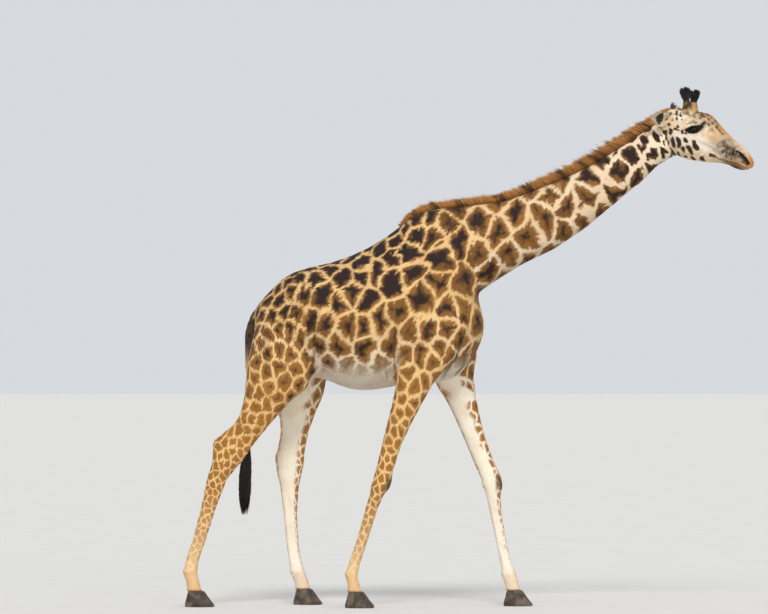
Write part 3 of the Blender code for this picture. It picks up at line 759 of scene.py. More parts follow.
def sinkFoot(points, share, depth):
    # lays the foot of a part on to the skin and a little into it; share is 1 at the foot
    for number in np.nonzero(share > 0.001)[0]:
        spot, normal, _, _ = headTree.find_nearest(Vector(points[number]))
        points[number] = mix(points[number], np.array(spot - normal * depth), share[number])
    return points


def makeEar(side):
    solid = (earMake[key] for key in ("voxel", "rounds", "depth"))
    points, triangles = smoothSolid([f"ear_{side}"], *solid)
    share, across, opens = earFrame(points, side)
    # the leaf is hollow along its middle, its rims stand up
    middle = step(0.05, 0.30, share) * step(1.05, 0.75, share) * bell(across, 0.0, 0.030)
    points -= opens * (middle * earMake["hollow"])[:, None]
    broader = across * step(0.10, 0.40, share) * earMake["broader"]
    points += headRotation @ earAxes(side)[2] * broader[:, None]
    return sinkFoot(points, step(0.20, 0.0, share), 0.004), triangles


def makeWhole():
    ears = [makeEar(side) for side in earRegion]
    points, triangles = joined([(hidePoints, skinTriangles)] + ears)
    numbers = [np.full(len(ear[0]), number) for ear, number in zip(ears, earRegion.values())]
    return {
        "points": points,
        "triangles": triangles,
        "normals": normalsOf(points, triangles),
        "region": np.concatenate([skinRegion] + numbers),
        "edges": edgesOf(triangles),
    }


hide = makeWhole()
earPoints = np.zeros(len(hide["points"]) - len(hidePoints))
inNostril, inMouth = (np.concatenate([field, earPoints]) for field in (inNostril, inMouth))
print("ears joined", len(hide["triangles"]), "triangles")

patchMake = {
    "stretch": (1.16, 1.0, 0.86),  # patches stand a little taller than long
    "closest": 0.80,  # least gap between two patch middles, as a share of the patch size
    "wobble": 0.19,  # how far the net wanders, as a share of the patch size
    "inlets": 3,  # for each patch, running from its border towards its middle
    "inletDepth": 0.26,  # share of the patch size
    "inletNarrow": 0.80,  # higher is narrower
    # size of a patch and width of the net by metres along the neck, or by height on the legs
    "neckSize": ([0.0, 0.35, 0.80, 1.20, 1.50, 1.75], [0.172, 0.196, 0.190, 0.160, 0.125, 0.092]),
    "neckNet": ([0.0, 0.4, 0.9, 1.4, 1.7], [0.085, 0.10, 0.13, 0.20, 0.27]),
    "foreSize": ([0.1, 0.8, 1.0, 1.3, 1.6, 1.9, 2.3],
                 [0.040, 0.052, 0.062, 0.076, 0.105, 0.145, 0.165]),
    "hindSize": ([0.1, 0.9, 1.2, 1.5, 1.8, 2.1], [0.038, 0.050, 0.068, 0.096, 0.112, 0.108]),
}
regionGroups = {"trunk": (0,), "neck": (1,), "head": (2,), "forelegs": (3, 4), "hindlegs": (5, 6),
                "legs": (3, 4, 5, 6), "tail": (7,), "ears": (8, 9)}


def byRegion(region, rest, **values):
    # each part of the animal takes its own values, the others take the rest
    for part, value in values.items():
        rest = np.where(np.isin(region, regionGroups[part]), value, rest)
    return rest


def wavesOf(seed, count, low, high):
    draw = np.random.default_rng(seed)
    ways = unit(draw.normal(size=(count, 3))) * draw.uniform(low, high, (count, 1))
    return ways, draw.uniform(0, 6.28, count)


wanderWaves = [wavesOf(20 + k, 7, 20.0, 60.0) for k in range(3)]
blotchWaves = wavesOf(35, 9, 8.0, 20.0)
mottleWaves = wavesOf(37, 14, 110.0, 260.0)
speckWaves = wavesOf(36, 12, 120.0, 320.0)
fleckWaves = wavesOf(39, 14, 260.0, 520.0)


def waveSum(points, waves):
    vectors, phases = waves
    return np.sin(points @ vectors.T + phases).sum(1) / math.sqrt(len(phases))


def patchSize(points, region):
    x, _, z = points.T
    trunk = mix(0.160, 0.138, step(2.22, 2.50, z)) * mix(1.0, 0.86, step(1.80, 1.60, z))
    trunk = mix(trunk, 0.098, step(-0.98, -1.25, x)) * mix(1.0, 1.20, step(-0.55, -0.10, x))
    return byRegion(
        region, 0.15, trunk=trunk, neck=np.interp(neckRun(points), *patchMake["neckSize"]),
        forelegs=np.interp(z, *patchMake["foreSize"]),
        hindlegs=np.interp(z, *patchMake["hindSize"]), head=0.050, tail=0.040,
    )


def netWidth(points, region):
    # share of the patch size that is net, both sides together
    z = points[:, 2]
    return byRegion(
        region, 0.15, trunk=mix(0.115, 0.085, step(2.0, 2.4, z)),
        neck=np.interp(neckRun(points), *patchMake["neckNet"]),
        forelegs=mix(0.20, 0.11, step(1.2, 2.0, z)), hindlegs=mix(0.17, 0.10, step(1.2, 1.9, z)),
        head=0.50, tail=0.5,
    )


def scatterSeeds(points, region):
    order = np.random.default_rng(5).permutation(len(points))
    size = patchSize(points, region) * patchMake["closest"]
    placed = points * patchMake["stretch"]
    seeds, gaps = np.empty((6000, 3)), np.empty(6000)
    count = 0
    for number in order[region[order] <= 7]:
        here = placed[number]
        apart = ((seeds[:count] - here) ** 2).sum(1)
        least = 0.5 * (gaps[:count] + size[number])
        if (apart >= least * least).all():
            seeds[count], gaps[count] = here, size[number]
            count += 1
    return seeds[:count]


patchSeeds = scatterSeeds(hide["points"], hide["region"])
seedTree = KDTree(len(patchSeeds))
for number, seed in enumerate(patchSeeds.tolist()):
    seedTree.insert(seed, number)
seedTree.balance()
inletCount = (len(patchSeeds), patchMake["inlets"])
seedTone = np.random.default_rng(8).uniform(0, 1, len(patchSeeds))
inletWays = unit(np.random.default_rng(31).normal(size=(*inletCount, 3)))
inletShifts = np.random.default_rng(32).uniform(-0.55, 0.55, inletCount)
print("patches", len(patchSeeds))


def patchDistances(points):
    # distance to the nearest and second nearest border, and which patch
    nearest = np.array([[row[1] for row in seedTree.find_n(p, 5)] for p in points.tolist()])
    middle = patchSeeds[nearest[:, 0]]
    borders = []
    for k in range(1, 5):
        way = patchSeeds[nearest[:, k]] - middle
        length = np.linalg.norm(way, axis=1)
        borders.append(length / 2 - ((points - middle) * way).sum(1) / length)
    borders = np.sort(np.stack(borders, 1), axis=1)
    return borders[:, 0], borders[:, 1], nearest[:, 0]


def limbFacing(points, region):
    # outward and forward share round the leg: 1 on the outer side, -1 on the inner one
    outward, forward = np.zeros(len(points)), np.zeros(len(points))
    for number in limbLines:
        pick = region == number
        forward[pick], outward[pick] = limbFrame(points[pick], number)
    return outward, forward


headTints = {
    # middle, radii (head frame, both sides), amount
    "pale": [((0.26, 0.08, 0.060), (0.12, 0.2, 0.050), 1.0),
             ((0.13, 0.09, 0.020), (0.10, 0.2, 0.080), 0.6),
             ((0.129, 0.09, 0.168), (0.055, 0.06, 0.028), 0.1),
             ((0.37, 0.06, 0.060), (0.07, 0.2, 0.035), 0.7),
             ((0.06, 0.09, 0.150), (0.035, 0.06, 0.040), 0.7),
             ((0.555, 0.05, 0.134), (0.045, 0.05, 0.007), 0.9)],
    "grey": [((0.470, 0.06, 0.100), (0.140, 0.09, 0.080), 1.3),
             ((0.150, 0.08, 0.180), (0.070, 0.06, 0.024), 0.45),
             ((0.43, 0.04, 0.165), (0.10, 0.06, 0.035), 0.8),
             ((0.19, 0.03, 0.235), (0.110, 0.11, 0.045), 0.80),
             ((0.50, 0.05, 0.00), (0.09, 0.08, 0.035), 0.8)],
    "rust": [((0.34, 0.00, 0.200), (0.16, 0.07, 0.040), 0.85),
             ((0.19, 0.0, 0.235), (0.11, 0.10, 0.045), 0.65),
             ((0.241, 0.0, 0.240), (0.035, 0.05, 0.025), 0.9),
             ((0.555, 0.02, 0.008), (0.100, 0.12, 0.050), 1.2),
             ((0.632, 0.00, 0.098), (0.055, 0.07, 0.056), 1.3),
             ((0.590, 0.05, 0.070), (0.025, 0.04, 0.014), 0.8),
             ((0.34, 0.08, 0.135), (0.060, 0.05, 0.035), 0.35),
             ((0.57, 0.04, 0.128), (0.040, 0.04, 0.012), 0.45)],
    "dark": [((0.407, 0.055, 0.137), (0.026, 0.03, 0.024), 0.80),
             ((0.440, 0.045, 0.166), (0.018, 0.03, 0.011), 0.6),
             ((0.555, 0.02, 0.014), (0.105, 0.12, 0.052), 0.86),
             # this one lies at the nostril's lower end: painted shadow below the slit
             ((0.600, 0.050, 0.084), (0.030, 0.04, 0.020), 1.10),
             ((0.515, 0.055, 0.095), (0.045, 0.04, 0.030), 0.45)],
    # dark hair in blotches: forehead, crown, feet of the horns, side of the brow
    "blotched": [((0.195, 0.0, 0.215), (0.150, 0.13, 0.080), 1.10),
                 ((0.022, 0.03, 0.175), (0.075, 0.10, 0.052), 1.05),
                 ((0.092, 0.05, 0.196), (0.055, 0.06, 0.038), 0.90),
                 ((0.200, 0.075, 0.190), (0.110, 0.07, 0.052), 1.05)],
    # dark hair in fine flecks: muzzle, chin
    "flecked": [((0.475, 0.06, 0.095), (0.12, 0.07, 0.070), 1.05),
                ((0.560, 0.02, 0.004), (0.10, 0.12, 0.045), 0.9)],
}
headStreaks = [
    # dark streaks in front of the eye and along the lip: ends (x, z), half width, amount
    ((0.226, 0.176), (0.284, 0.222), 0.0220, 1.05),
    ((0.310, 0.204), (0.372, 0.176), 0.0105, 0.90),
    ((0.284, 0.190), (0.322, 0.165), 0.0095, 0.80),
    ((0.150, 0.196), (0.215, 0.200), 0.0110, 0.70),
    ((0.385, 0.016), (0.480, 0.030), 0.0055, 0.85),
]
cheekSpots = [
    # place (x, z), half length, half width, slant in degrees below the head's axis
    (0.090, -0.017, 0.034, 0.015, 63), (0.130, -0.001, 0.038, 0.014, 63),
    (0.174, 0.030, 0.020, 0.016, 50), (0.245, 0.027, 0.032, 0.017, 42),
    (0.224, -0.016, 0.037, 0.014, 38), (0.177, -0.030, 0.019, 0.015, 45),
    (0.126, 0.074, 0.019, 0.012, 40), (0.080, 0.093, 0.009, 0.008, 40),
    (0.104, -0.089, 0.032, 0.012, 38), (0.152, -0.081, 0.024, 0.012, 38),
    (0.261, -0.058, 0.020, 0.012, -20), (0.318, -0.033, 0.022, 0.013, -20),
    (0.365, 0.020, 0.026, 0.013, -20), (0.056, -0.039, 0.018, 0.010, 63),
    (0.050, 0.030, 0.020, 0.010, 60), (0.205, -0.070, 0.018, 0.010, 20),
    (0.027, 0.002, 0.026, 0.010, 63), (-0.004, 0.011, 0.018, 0.011, 60),
    (0.042, 0.042, 0.017, 0.011, 20), (0.075, 0.067, 0.024, 0.009, -20),
    (0.060, 0.164, 0.012, 0.010, 40), (0.083, 0.146, 0.010, 0.008, 0),
    (0.041, 0.135, 0.010, 0.008, 0), (0.150, 0.075, 0.010, 0.007, 0),
]
behindEarPath = [(-0.080, -0.022), (-0.128, -0.088)]
nostrilShadePath = [(0.519, 0.111), (0.555, 0.105), (0.591, 0.091), (0.620, 0.073)]


def cheekSpotDepth(folded):
    # how far inside the nearest spot, in metres
    best = np.full(len(folded), -0.03)
    for x, z, halfLong, halfWide, slant in cheekSpots:
        along, across = tilted(folded[:, 0] - x, folded[:, 2] - z, math.radians(-slant))
        reach = np.hypot(along / halfLong, across / halfWide) / 1.12
        best = np.maximum(best, (1 - reach) * halfWide)
    return best


def put(look, pick, **values):
    # gives the picked points their own value of some marks
    for mark, value in values.items():
        look[mark] = np.where(pick, value, look[mark])


def bodyMarks(points, normals, region, size, place):
    x, _, z = points.T
    limb, run = onLimb(region), neckRun(points)
    outward, forward = limbFacing(points, region)
    first, second, which = patchDistances(place)
    # each inlet is a wedge about a cone of directions from the patch's middle
    fromMiddle = unit(place - patchSeeds[which])[:, None, :]
    wedge = np.abs((inletWays[which] * fromMiddle).sum(2) - inletShifts[which]).min(1)
    inlet = size * (patchMake["inletNarrow"] * wedge - 0.5 * patchMake["inletDepth"] + 0.02)
    inlet += 0.62 * np.maximum(first, 0)
    tone = seedTone[which] - 0.5
    # how dark the middle of a patch is; low on the body and on the legs it only smoulders
    bias = byRegion(
        region, -0.85, head=-0.20, ears=-0.20,
        trunk=np.interp(z, [1.6, 1.85, 2.1, 2.4], [-0.85, -0.50, -0.28, 0.15])
        - 0.50 * step(-0.55, -0.10, x),
        neck=np.interp(run, [0.0, 0.5, 1.0, 1.6], [-0.42, -0.50, -0.40, -0.10]),
        legs=np.interp(z, [0.9, 1.3, 1.7, 2.0, 2.3], [-1.55, -1.25, -0.75, -0.35, -0.10]),
    )
    smoulder = mix(np.interp(z, [1.6, 2.2], [0.42, 0.85]), 0.62, step(-0.50, 0.0, x))
    core = (1.4 * first - 0.9 * (second - first)) / (size * 0.5) + bias + tone * 0.5
    gold = byRegion(
        region, 0.4, trunk=np.interp(z, [1.6, 2.0, 2.4], [0.75, 0.60, 0.35]),
        neck=np.interp(run, [0.0, 0.5, 1.2, 1.7], [0.45, 0.70, 0.50, 0.20]),
        legs=np.interp(z, [0.9, 1.5, 2.1], [1.0, 0.90, 0.45]),
    )
    belly = step(1.53, 1.72, z + 0.03 * waveSum(points, blotchWaves))
    facing = outward + byRegion(region, 0.85, hindlegs=0.42) * np.maximum(forward, 0)
    inner = step(-0.55, -0.05, facing) * np.interp(z, [0.15, 0.45, 0.8], [0.0, 0.55, 1.0])
    throat = np.where(normals[:, 2] < -0.2, 0.6, 0.0)
    outerLeg = np.interp(z, [0.3, 1.2, 2.0], [0.30, 0.05, 0.20])
    look = {
        "edge": np.minimum(first - netWidth(points, region) * size / 2, inlet),
        "core": core * byRegion(region, smoulder, neck=0.62, legs=0.45),
        "gold": np.clip(gold + tone * 0.4, 0, 1),
        "fade": byRegion(
            region, 1.0, trunk=belly * step(-0.97, -0.70, normals[:, 2]),
            legs=mix(1.0, inner, step(1.75, 1.55, z)), tail=step(1.55, 1.9, z) * 0.7,
        ),
        "pale": byRegion(
            region, 0.15, trunk=mix(1.0, 0.10, step(1.52, 1.95, z)), tail=0.25,
            neck=np.maximum(np.interp(run, [0.0, 0.6, 1.1, 1.7], [0.14, 0.36, 0.55, 0.75]), throat),
            legs=np.where(z > 1.75, np.interp(z, [1.75, 2.2], [0.25, 0.12]),
                          mix(1.0, outerLeg, step(-0.6, 0.1, outward))),
        ),
        "dark": np.zeros(len(points)), "rust": np.zeros(len(points)), "grey": np.zeros(len(points)),
    }
    # legs: worn grey knees, brown behind the pasterns
    for number, (joint, kind, _) in legJoints.items():
        worn = bell(z, joint, 0.042) * step(0.45, 0.9, forward) * (kind == "knee")
        dark = np.maximum(worn * 0.62, step(0.125, 0.107, z) * 0.5)
        put(look, region == number, grey=worn * 0.9, rust=step(0.30, 0.13, z) * 0.35, dark=dark)
    # folds that are marked get painted shade: the coat is darkened along the crease, where shade
    # falls
    for path, width, depth, darker in bodyFolds.values():
        if darker:
            wide, thin = ridge(points, path, width * 0.62), ridge(points, path, 0.0065)
            crease = np.maximum(wide * 0.7, thin)
            crease = crease * (np.abs(normals[:, 1]) > 0.3) * np.clip(depth / 0.016, 0, 1)
            shown = (region == 0) | limb & (outward > -0.2)
            look["dark"] = np.maximum(look["dark"], shown * crease * 0.90)
    # the tail is darker at its end and its root, and so is the rump round it
    root = bump(points, (-1.475, 0.0, 1.93), (0.05, 0.07, 0.14)) * 0.75
    put(look, region == 7, dark=np.maximum(step(1.25, 1.12, z) * 0.8, step(1.55, 1.80, z) * 0.92))
    put(look, region == 0, dark=np.maximum(look["dark"], root))
    return look


def headMarks(look, points, region, wander, openings):
    face = region == 2
    local = toHead(points)
    folded = bothSides(local)
    x, y, z = folded.T
    mottle = waveSum(points, mottleWaves)
    tint = {
        name: np.max([bump(folded, centre, radii) * amount for centre, radii, amount in rows], 0)
        for name, rows in headTints.items()
    }
    put(look, face, pale=np.clip(0.55 + tint["pale"] - 0.7 * tint["rust"], 0, 1), rust=tint["rust"],
        dark=np.clip(tint["dark"], 0, 0.9), gold=0.15, fade=0.96,
        grey=np.maximum(tint["grey"], 0.30 * step(-0.2, 0.9, mottle) * (1 - tint["pale"])))
    # a long patch behind the ear
    edge = np.maximum(look["edge"], 0.017 - lineGap(folded, behindEarPath)[0] + 0.002 * mottle)
    put(look, region == 1, edge=edge)
    # spots of the cheek and jaw; smaller ones of the pattern behind and above them
    spots = cheekSpotDepth(folded + wander * 0.0045) + 0.0016 * mottle
    behind = step(0.055, 0.015, x - 0.6 * np.maximum(z - 0.10, 0))
    edge = np.maximum(spots, np.minimum(edge, 0.02) * behind - 0.03 * (1 - behind))
    put(look, face, edge=edge,
        core=step(0.0, 0.008, edge) * 0.9 - 0.42 - 0.30 * step(0.32, 0.38, x))
    blotches = step(-0.20, 0.60, mottle)
    flecks = step(-0.25, 0.55, waveSum(points, fleckWaves) + 0.5 * mottle)
    # painted shadow below and behind the nostril
    gap, along = lineGap(folded, nostrilShadePath)
    shade = bell(gap, 0.0, 0.014) * step(0.0, 0.30, along) * step(0.012, 0.022, y) * 0.95
    darks = [look["dark"], tint["blotched"] * blotches, tint["flecked"] * flecks, shade]
    frayed = folded + 0.003 * columns(
        *(waveSum(points, waves) for waves in (mottleWaves, fleckWaves, speckWaves))
    )
    for back, front, halfWide, amount in headStreaks:
        gap, _ = lineGap(frayed, [back, front])
        darks.append(bell(gap, 0.0, halfWide) * amount * (0.45 + 0.55 * blotches))
    put(look, face, dark=np.max(darks, 0))
    # black skin round the eye, drawn out to its corners
    for side in (-1, 1):
        along, out, up = eyeFrame(local, side)
        reach = np.where(along > 0, 0.076, 0.064)
        bow = np.clip(1.0 - (along / reach) ** 2, 0, 1)
        high = 0.0200 * bow**0.8 + 0.22 * np.clip(along - 0.012, 0, 0.05)
        past = np.where(up > 0, up - high, -up - 0.0345 * bow**0.9) + 0.0018 * mottle
        ring = step(0.0045, -0.0035, past) * (out > -0.03) * (np.abs(along) < reach)
        # a pale streak along the ledge above the upper lid is a painted highlight on the lid's roll
        ledge = up - 0.0275 - 0.05 * along
        lid = bell(ledge, 0.0, 0.0065) * step(-0.062, -0.048, along) * step(0.022, 0.006, along)
        lid = lid * (out > -0.02) * (1 - ring)
        # painted shade in the crease above the lid
        crease = bell(ledge, 0.0120, 0.0034) * step(-0.06, -0.04, along) * step(0.06, 0.03, along)
        dark = np.maximum(look["dark"], ring) * (1 - lid)
        put(look, face, pale=np.maximum(look["pale"], lid), grey=look["grey"] * (1 - lid),
            dark=np.maximum(dark, crease * (out > -0.02) * 0.72),
            fade=look["fade"] * (1 - np.maximum(lid, ring)))
    # painted shade in the nostril slit and in the parting of the mouth
    if openings is not None:
        put(look, face, dark=np.max([look["dark"], openings[0], openings[1] * 0.9], 0))


def earMarks(look, points, normals, region):
    for side, number in earRegion.items():
        share, across, opens = earFrame(points, side)
        inside = step(-0.1, 0.35, normals @ opens)
        # the dark spot in the middle of the hollow is painted shade inside the ear
        spot = np.exp(-(((share - 0.42) / 0.21) ** 2) - (((across - 0.004) / 0.050) ** 2))
        spot = step(0.44, 0.60, spot + 0.10 * waveSum(points, mottleWaves))
        rim = step(0.040, 0.054, np.abs(across)) * step(0.15, 0.3, share) + step(0.86, 0.97, share)
        tip = step(0.30, 0.55, share) * 0.95 * (1 - inside) * (side == "left")
        put(look, region == number, pale=mix(0.35, 0.80, inside), grey=(1 - inside) * 0.20,
            fade=0.0, dark=np.clip(inside * spot * 0.95 * (1 - rim) + tip, 0, 0.97),
            rust=np.clip(rim * 0.55 + (1 - inside) * 0.30, 0, 1))


def markingsAt(points, normals, region, openings=None):
    size = patchSize(points, region)
    scaled = points / np.maximum(size, 0.05)[:, None] * 0.12
    wander = columns(*(waveSum(scaled, waves) for waves in wanderWaves))
    place = points * patchMake["stretch"] + wander * (size * patchMake["wobble"] * 0.5)[:, None]
    look = bodyMarks(points, normals, region, size, place)
    if ((region == 2) | (region >= 8)).any():
        headMarks(look, points, region, wander, openings)
        earMarks(look, points, normals, region)
    look["grey"] = look["grey"] * (0.775 + 0.225 * np.clip(waveSum(points, speckWaves), -1, 1))
    tint = [np.clip(look[key], 0, 1) for key in ("pale", "dark", "rust", "grey")]
    fade = np.clip(look["fade"], 0, 1)
    return columns(look["edge"] / size, look["core"], look["gold"], fade), columns(*tint)


hide["patch"], hide["tint"] = markingsAt(
    hide["points"], hide["normals"], hide["region"], (inNostril, inMouth)
)
print("markings laid out")


class nodeSheet:
    # places nodes in a tree from left to right and links by name
    def __init__(self, tree):
        self.tree, self.count = tree, 0

    def feed(self, node, inputs):
        for key, value in inputs.items():
            if isinstance(value, bpy.types.NodeSocket):
                self.tree.links.new(value, node.inputs[key])
            else:
                node.inputs[key].default_value = value

    def add(self, kind, inputs=None, **settings):
        node = self.tree.nodes.new("ShaderNode" + kind)
        node.location = (180 * (self.count // 6), -220 * (self.count % 6))
        self.count += 1
        for key, value in settings.items():
            setattr(node, key, value)
        self.feed(node, inputs or {})
        return node.outputs

    def place(self):
        return self.add("TexCoord")["Object"]

    def field(self, name):
        return self.add("Attribute", attribute_name=name)

    def split(self, colour):
        return self.add("SeparateColor", {"Color": colour})

    def math(self, operation, a, b=0.0):
        return self.add("Math", {0: a, 1: b}, operation=operation)[0]

    def times(self, a, b):
        return self.math("MULTIPLY", a, b)

    def plus(self, a, b):
        return self.math("ADD", a, b)

    def swing(self, value, amount):
        # a value of 0 to 1 as a push to either side
        return self.times(self.math("SUBTRACT", value, 0.5), amount)

    def soft(self, value, low, high, start=0.0, end=1.0):
        ends = {"From Min": low, "From Max": high, "To Min": start, "To Max": end}
        return self.add("MapRange", {"Value": value, **ends}, interpolation_type="SMOOTHSTEP")[0]

    def blend(self, share, a, b, kind="MIX"):
        return self.add("Mix", {0: share, 6: a, 7: b}, data_type="RGBA", blend_type=kind)[2]

    def lit(self, colour, light):
        grey = self.add("CombineColor", {0: light, 1: light, 2: light})[0]
        return self.blend(1.0, colour, grey, "MULTIPLY")

    def noise(self, where, scale, detail=2.0, roughness=0.5):
        inputs = {"Vector": where, "Scale": scale, "Detail": detail, "Roughness": roughness}
        return self.add("TexNoise", inputs)[0]


plain, colour = "NodeSocketFloat", "NodeSocketColor"


def newGroup(name, inputs, outputs):
    group = bpy.data.node_groups.new(name, "ShaderNodeTree")
    for label, (kind, value) in inputs.items():
        socket = group.interface.new_socket(name=label, in_out="INPUT", socket_type=kind)
        if value is not None:
            socket.default_value = value
    for label in outputs:
        kind = colour if label == "Color" else plain
        group.interface.new_socket(name=label, in_out="OUTPUT", socket_type=kind)
    start, end = group.nodes.new("NodeGroupInput"), group.nodes.new("NodeGroupOutput")
    start.location, end.location = (-300, 0), (2200, 0)
    return group, start.outputs, end, nodeSheet(group)


coatColours = {
    "Net Tan": srgb(230, 186, 116),
    "Net White": srgb(240, 229, 208),
    "Patch Brown": srgb(98, 62, 28),
    "Patch Gold": srgb(170, 116, 50),
    "Core": srgb(42, 27, 24),
    "Black": srgb(20, 16, 15),
    "Rust": srgb(196, 132, 66),
    "Grey": srgb(104, 84, 68),
}


def makeMarkingsGroup():
    colours = {label: (colour, value) for label, value in coatColours.items()}
    inputs = {"Patch": (colour, None), "Patch Fade": (plain, 1.0), "Tint": (colour, None),
              "Tint Grey": (plain, 0.0), "Hair": (colour, None), **colours,
              "Ragged": (plain, 0.16), "Blotch": (plain, 1.0)}
    outputs = ("Color", "Patch Mask", "Rough", "Height")
    group, take, end, sheet = newGroup("giraffeMarkings", inputs, outputs)
    where = sheet.place()
    patch, tint, hair = (sheet.split(take[label]) for label in ("Patch", "Tint", "Hair"))
    ragged = sheet.noise(where, 46.0, 3.0, 0.62)
    fine = sheet.noise(where, 310.0)
    blotch = sheet.noise(where, 27.0, 2.5, 0.55)
    # ragged border of each patch
    edge = sheet.plus(patch[0], sheet.swing(ragged, take["Ragged"]))
    mask = sheet.times(sheet.soft(edge, -0.014, 0.030), take["Patch Fade"])
    # dark middle with its own uneven outline
    core = sheet.soft(sheet.plus(patch[1], sheet.swing(blotch, take["Blotch"])), -0.25, 0.38)
    core = sheet.times(core, sheet.soft(edge, 0.0, 0.07))
    stain = sheet.soft(sheet.noise(where, 7.0), 0.35, 0.75, 0.0, 0.22)
    net = sheet.blend(stain, sheet.blend(tint[0], take["Net Tan"], take["Net White"]), take["Rust"])
    brown = sheet.blend(patch[2], take["Patch Brown"], take["Patch Gold"])
    brown = sheet.blend(sheet.soft(fine, 0.35, 0.70, 0.0, 0.30), brown, take["Patch Brown"])
    coat = sheet.blend(mask, net, brown)
    # the Black layer holds black skin and hair, and also painted shade in creases, the nostril, the
    # mouth, the lid's crease and the ear's hollow
    for share, layer in ((sheet.times(core, take["Patch Fade"]), "Core"), (tint[2], "Rust"),
                         (take["Tint Grey"], "Grey"), (tint[1], "Black")):
        coat = sheet.blend(share, coat, take[layer])
    # each hair a little lighter or darker, and each tuft painted darker at its root, as shade under
    # the coat
    turn = sheet.plus(sheet.times(hair[1], 24.0), sheet.times(hair[0], 60.0))
    light = sheet.soft(hair[0], 0.0, 1.0, 0.90, 1.10)
    for value, low, high, least in ((sheet.math("SINE", turn), -1.0, 1.0, 0.93),
                                    (hair[2], 0.0, 1.0, 0.94), (fine, 0.3, 0.7, 0.93)):
        light = sheet.times(light, sheet.soft(value, low, high, least, 1.05))
    sheet.feed(end, {
        "Color": sheet.lit(coat, light), "Patch Mask": mask,
        "Rough": sheet.soft(fine, 0.3, 0.7, 0.70, 0.86),
        "Height": sheet.plus(fine, sheet.times(ragged, 0.5)),
    })
    return group


def makeStrandGroup():
    # red of the strand runs from root to tip, green is its tone, blue a dark bar
    inputs = {"Strand": (colour, None), "Root": (colour, (0.2, 0.1, 0.05, 1)),
              "Tip": (colour, (0.4, 0.2, 0.1, 1)), "Bar": (colour, (0.05, 0.03, 0.02, 1)),
              "Spread": (plain, 0.35)}
    group, take, end, sheet = newGroup("strandTone", inputs, ("Color", "Rough"))
    strand = sheet.split(take["Strand"])
    tone = sheet.blend(sheet.soft(strand[0], 0.1, 0.9), take["Root"], take["Tip"])
    tone = sheet.blend(strand[2], tone, take["Bar"])
    patchy = sheet.soft(sheet.noise(sheet.place(), 60.0), 0.3, 0.7, 0.88, 1.10)
    light = sheet.plus(sheet.swing(strand[1], take["Spread"]), patchy)
    rough = sheet.soft(strand[1], 0.0, 1.0, 0.42, 0.62)
    sheet.feed(end, {"Color": sheet.lit(tone, light), "Rough": rough})
    return group


def makeGrainGroup():
    # fine height and tone for horn, hoof and floor
    inputs = {"Scale": (plain, 40.0), "Stretch": ("NodeSocketVector", (1.0, 1.0, 1.0)),
              "Dark": (colour, None), "Light": (colour, None), "Wear": (colour, None),
              "Wear Share": (plain, 0.0)}
    group, take, end, sheet = newGroup("fineGrain", inputs, ("Color", "Rough", "Height"))
    where = sheet.place()
    stretched = sheet.add("VectorMath", {0: where, 1: take["Stretch"]}, operation="MULTIPLY")[0]
    grain = sheet.noise(stretched, take["Scale"], 5.0, 0.6)
    tone = sheet.blend(sheet.soft(grain, 0.3, 0.7), take["Dark"], take["Light"])
    worn = sheet.times(sheet.soft(sheet.noise(where, 18.0), 0.42, 0.66), take["Wear Share"])
    sheet.feed(end, {"Color": sheet.blend(worn, tone, take["Wear"]), "Height": grain,
                     "Rough": sheet.soft(grain, 0.3, 0.7, 0.48, 0.70)})
    return group


markingsGroup = makeMarkingsGroup()
strandGroup = makeStrandGroup()
grainGroup = makeGrainGroup()


def newMaterial(name, specular, **fixed):
    material = bpy.data.materials.new(name)
    material.use_nodes = True
    shader = material.node_tree.nodes["Principled BSDF"]
    sheet = nodeSheet(material.node_tree)
    sheet.feed(shader, {"Specular IOR Level": specular, **fixed})
    return material, shader, sheet


def dress(shader, sheet, look, bumpDepth=0.0, bumpStrength=1.0):
    # takes colour, roughness and relief from a group
    sheet.feed(shader, {"Base Color": look["Color"], "Roughness": look["Rough"]})
    if bumpDepth:
        relief = {"Height": look["Height"], "Distance": bumpDepth, "Strength": bumpStrength}
        sheet.feed(shader, {"Normal": sheet.add("Bump", relief)["Normal"]})


def markingsMaterial(name, bumpDepth, ragged, specular, sheen):
    material, shader, sheet = newMaterial(name, specular, **{"Sheen Weight": sheen})
    patch, tint, hair = (sheet.field(key) for key in ("patchField", "tintField", "hairField"))
    inputs = {"Patch": patch["Color"], "Patch Fade": patch["Alpha"], "Tint": tint["Color"],
              "Tint Grey": tint["Alpha"], "Hair": hair["Color"], "Ragged": ragged}
    look = sheet.add("Group", inputs, node_tree=markingsGroup)
    dress(shader, sheet, look, bumpDepth, 0.8)
    return material


def strandMaterial(name, root, tip, bar, toneSpread, specular):
    material, shader, sheet = newMaterial(name, specular)
    inputs = {"Strand": sheet.field("strandField")["Color"], "Root": srgb(*root),
              "Tip": srgb(*tip), "Bar": srgb(*bar), "Spread": toneSpread}
    dress(shader, sheet, sheet.add("Group", inputs, node_tree=strandGroup))
    return material


hideMaterial = markingsMaterial("shortCoat", 0.0016, 0.17, 0.22, 0.10)
tuftMaterial = markingsMaterial("coatHair", 0.0, 0.12, 0.25, 0.08)
maneMaterial = strandMaterial("maneHair", (166, 112, 58), (222, 156, 80), (54, 36, 25), 0.70, 0.35)
blackMaterial = strandMaterial("blackHair", (34, 26, 22), (22, 18, 17), (58, 40, 28), 0.5, 0.4)
creamMaterial = strandMaterial("earHair", (244, 226, 190), (252, 242, 218), (40, 32, 28), 0.3, 0.3)

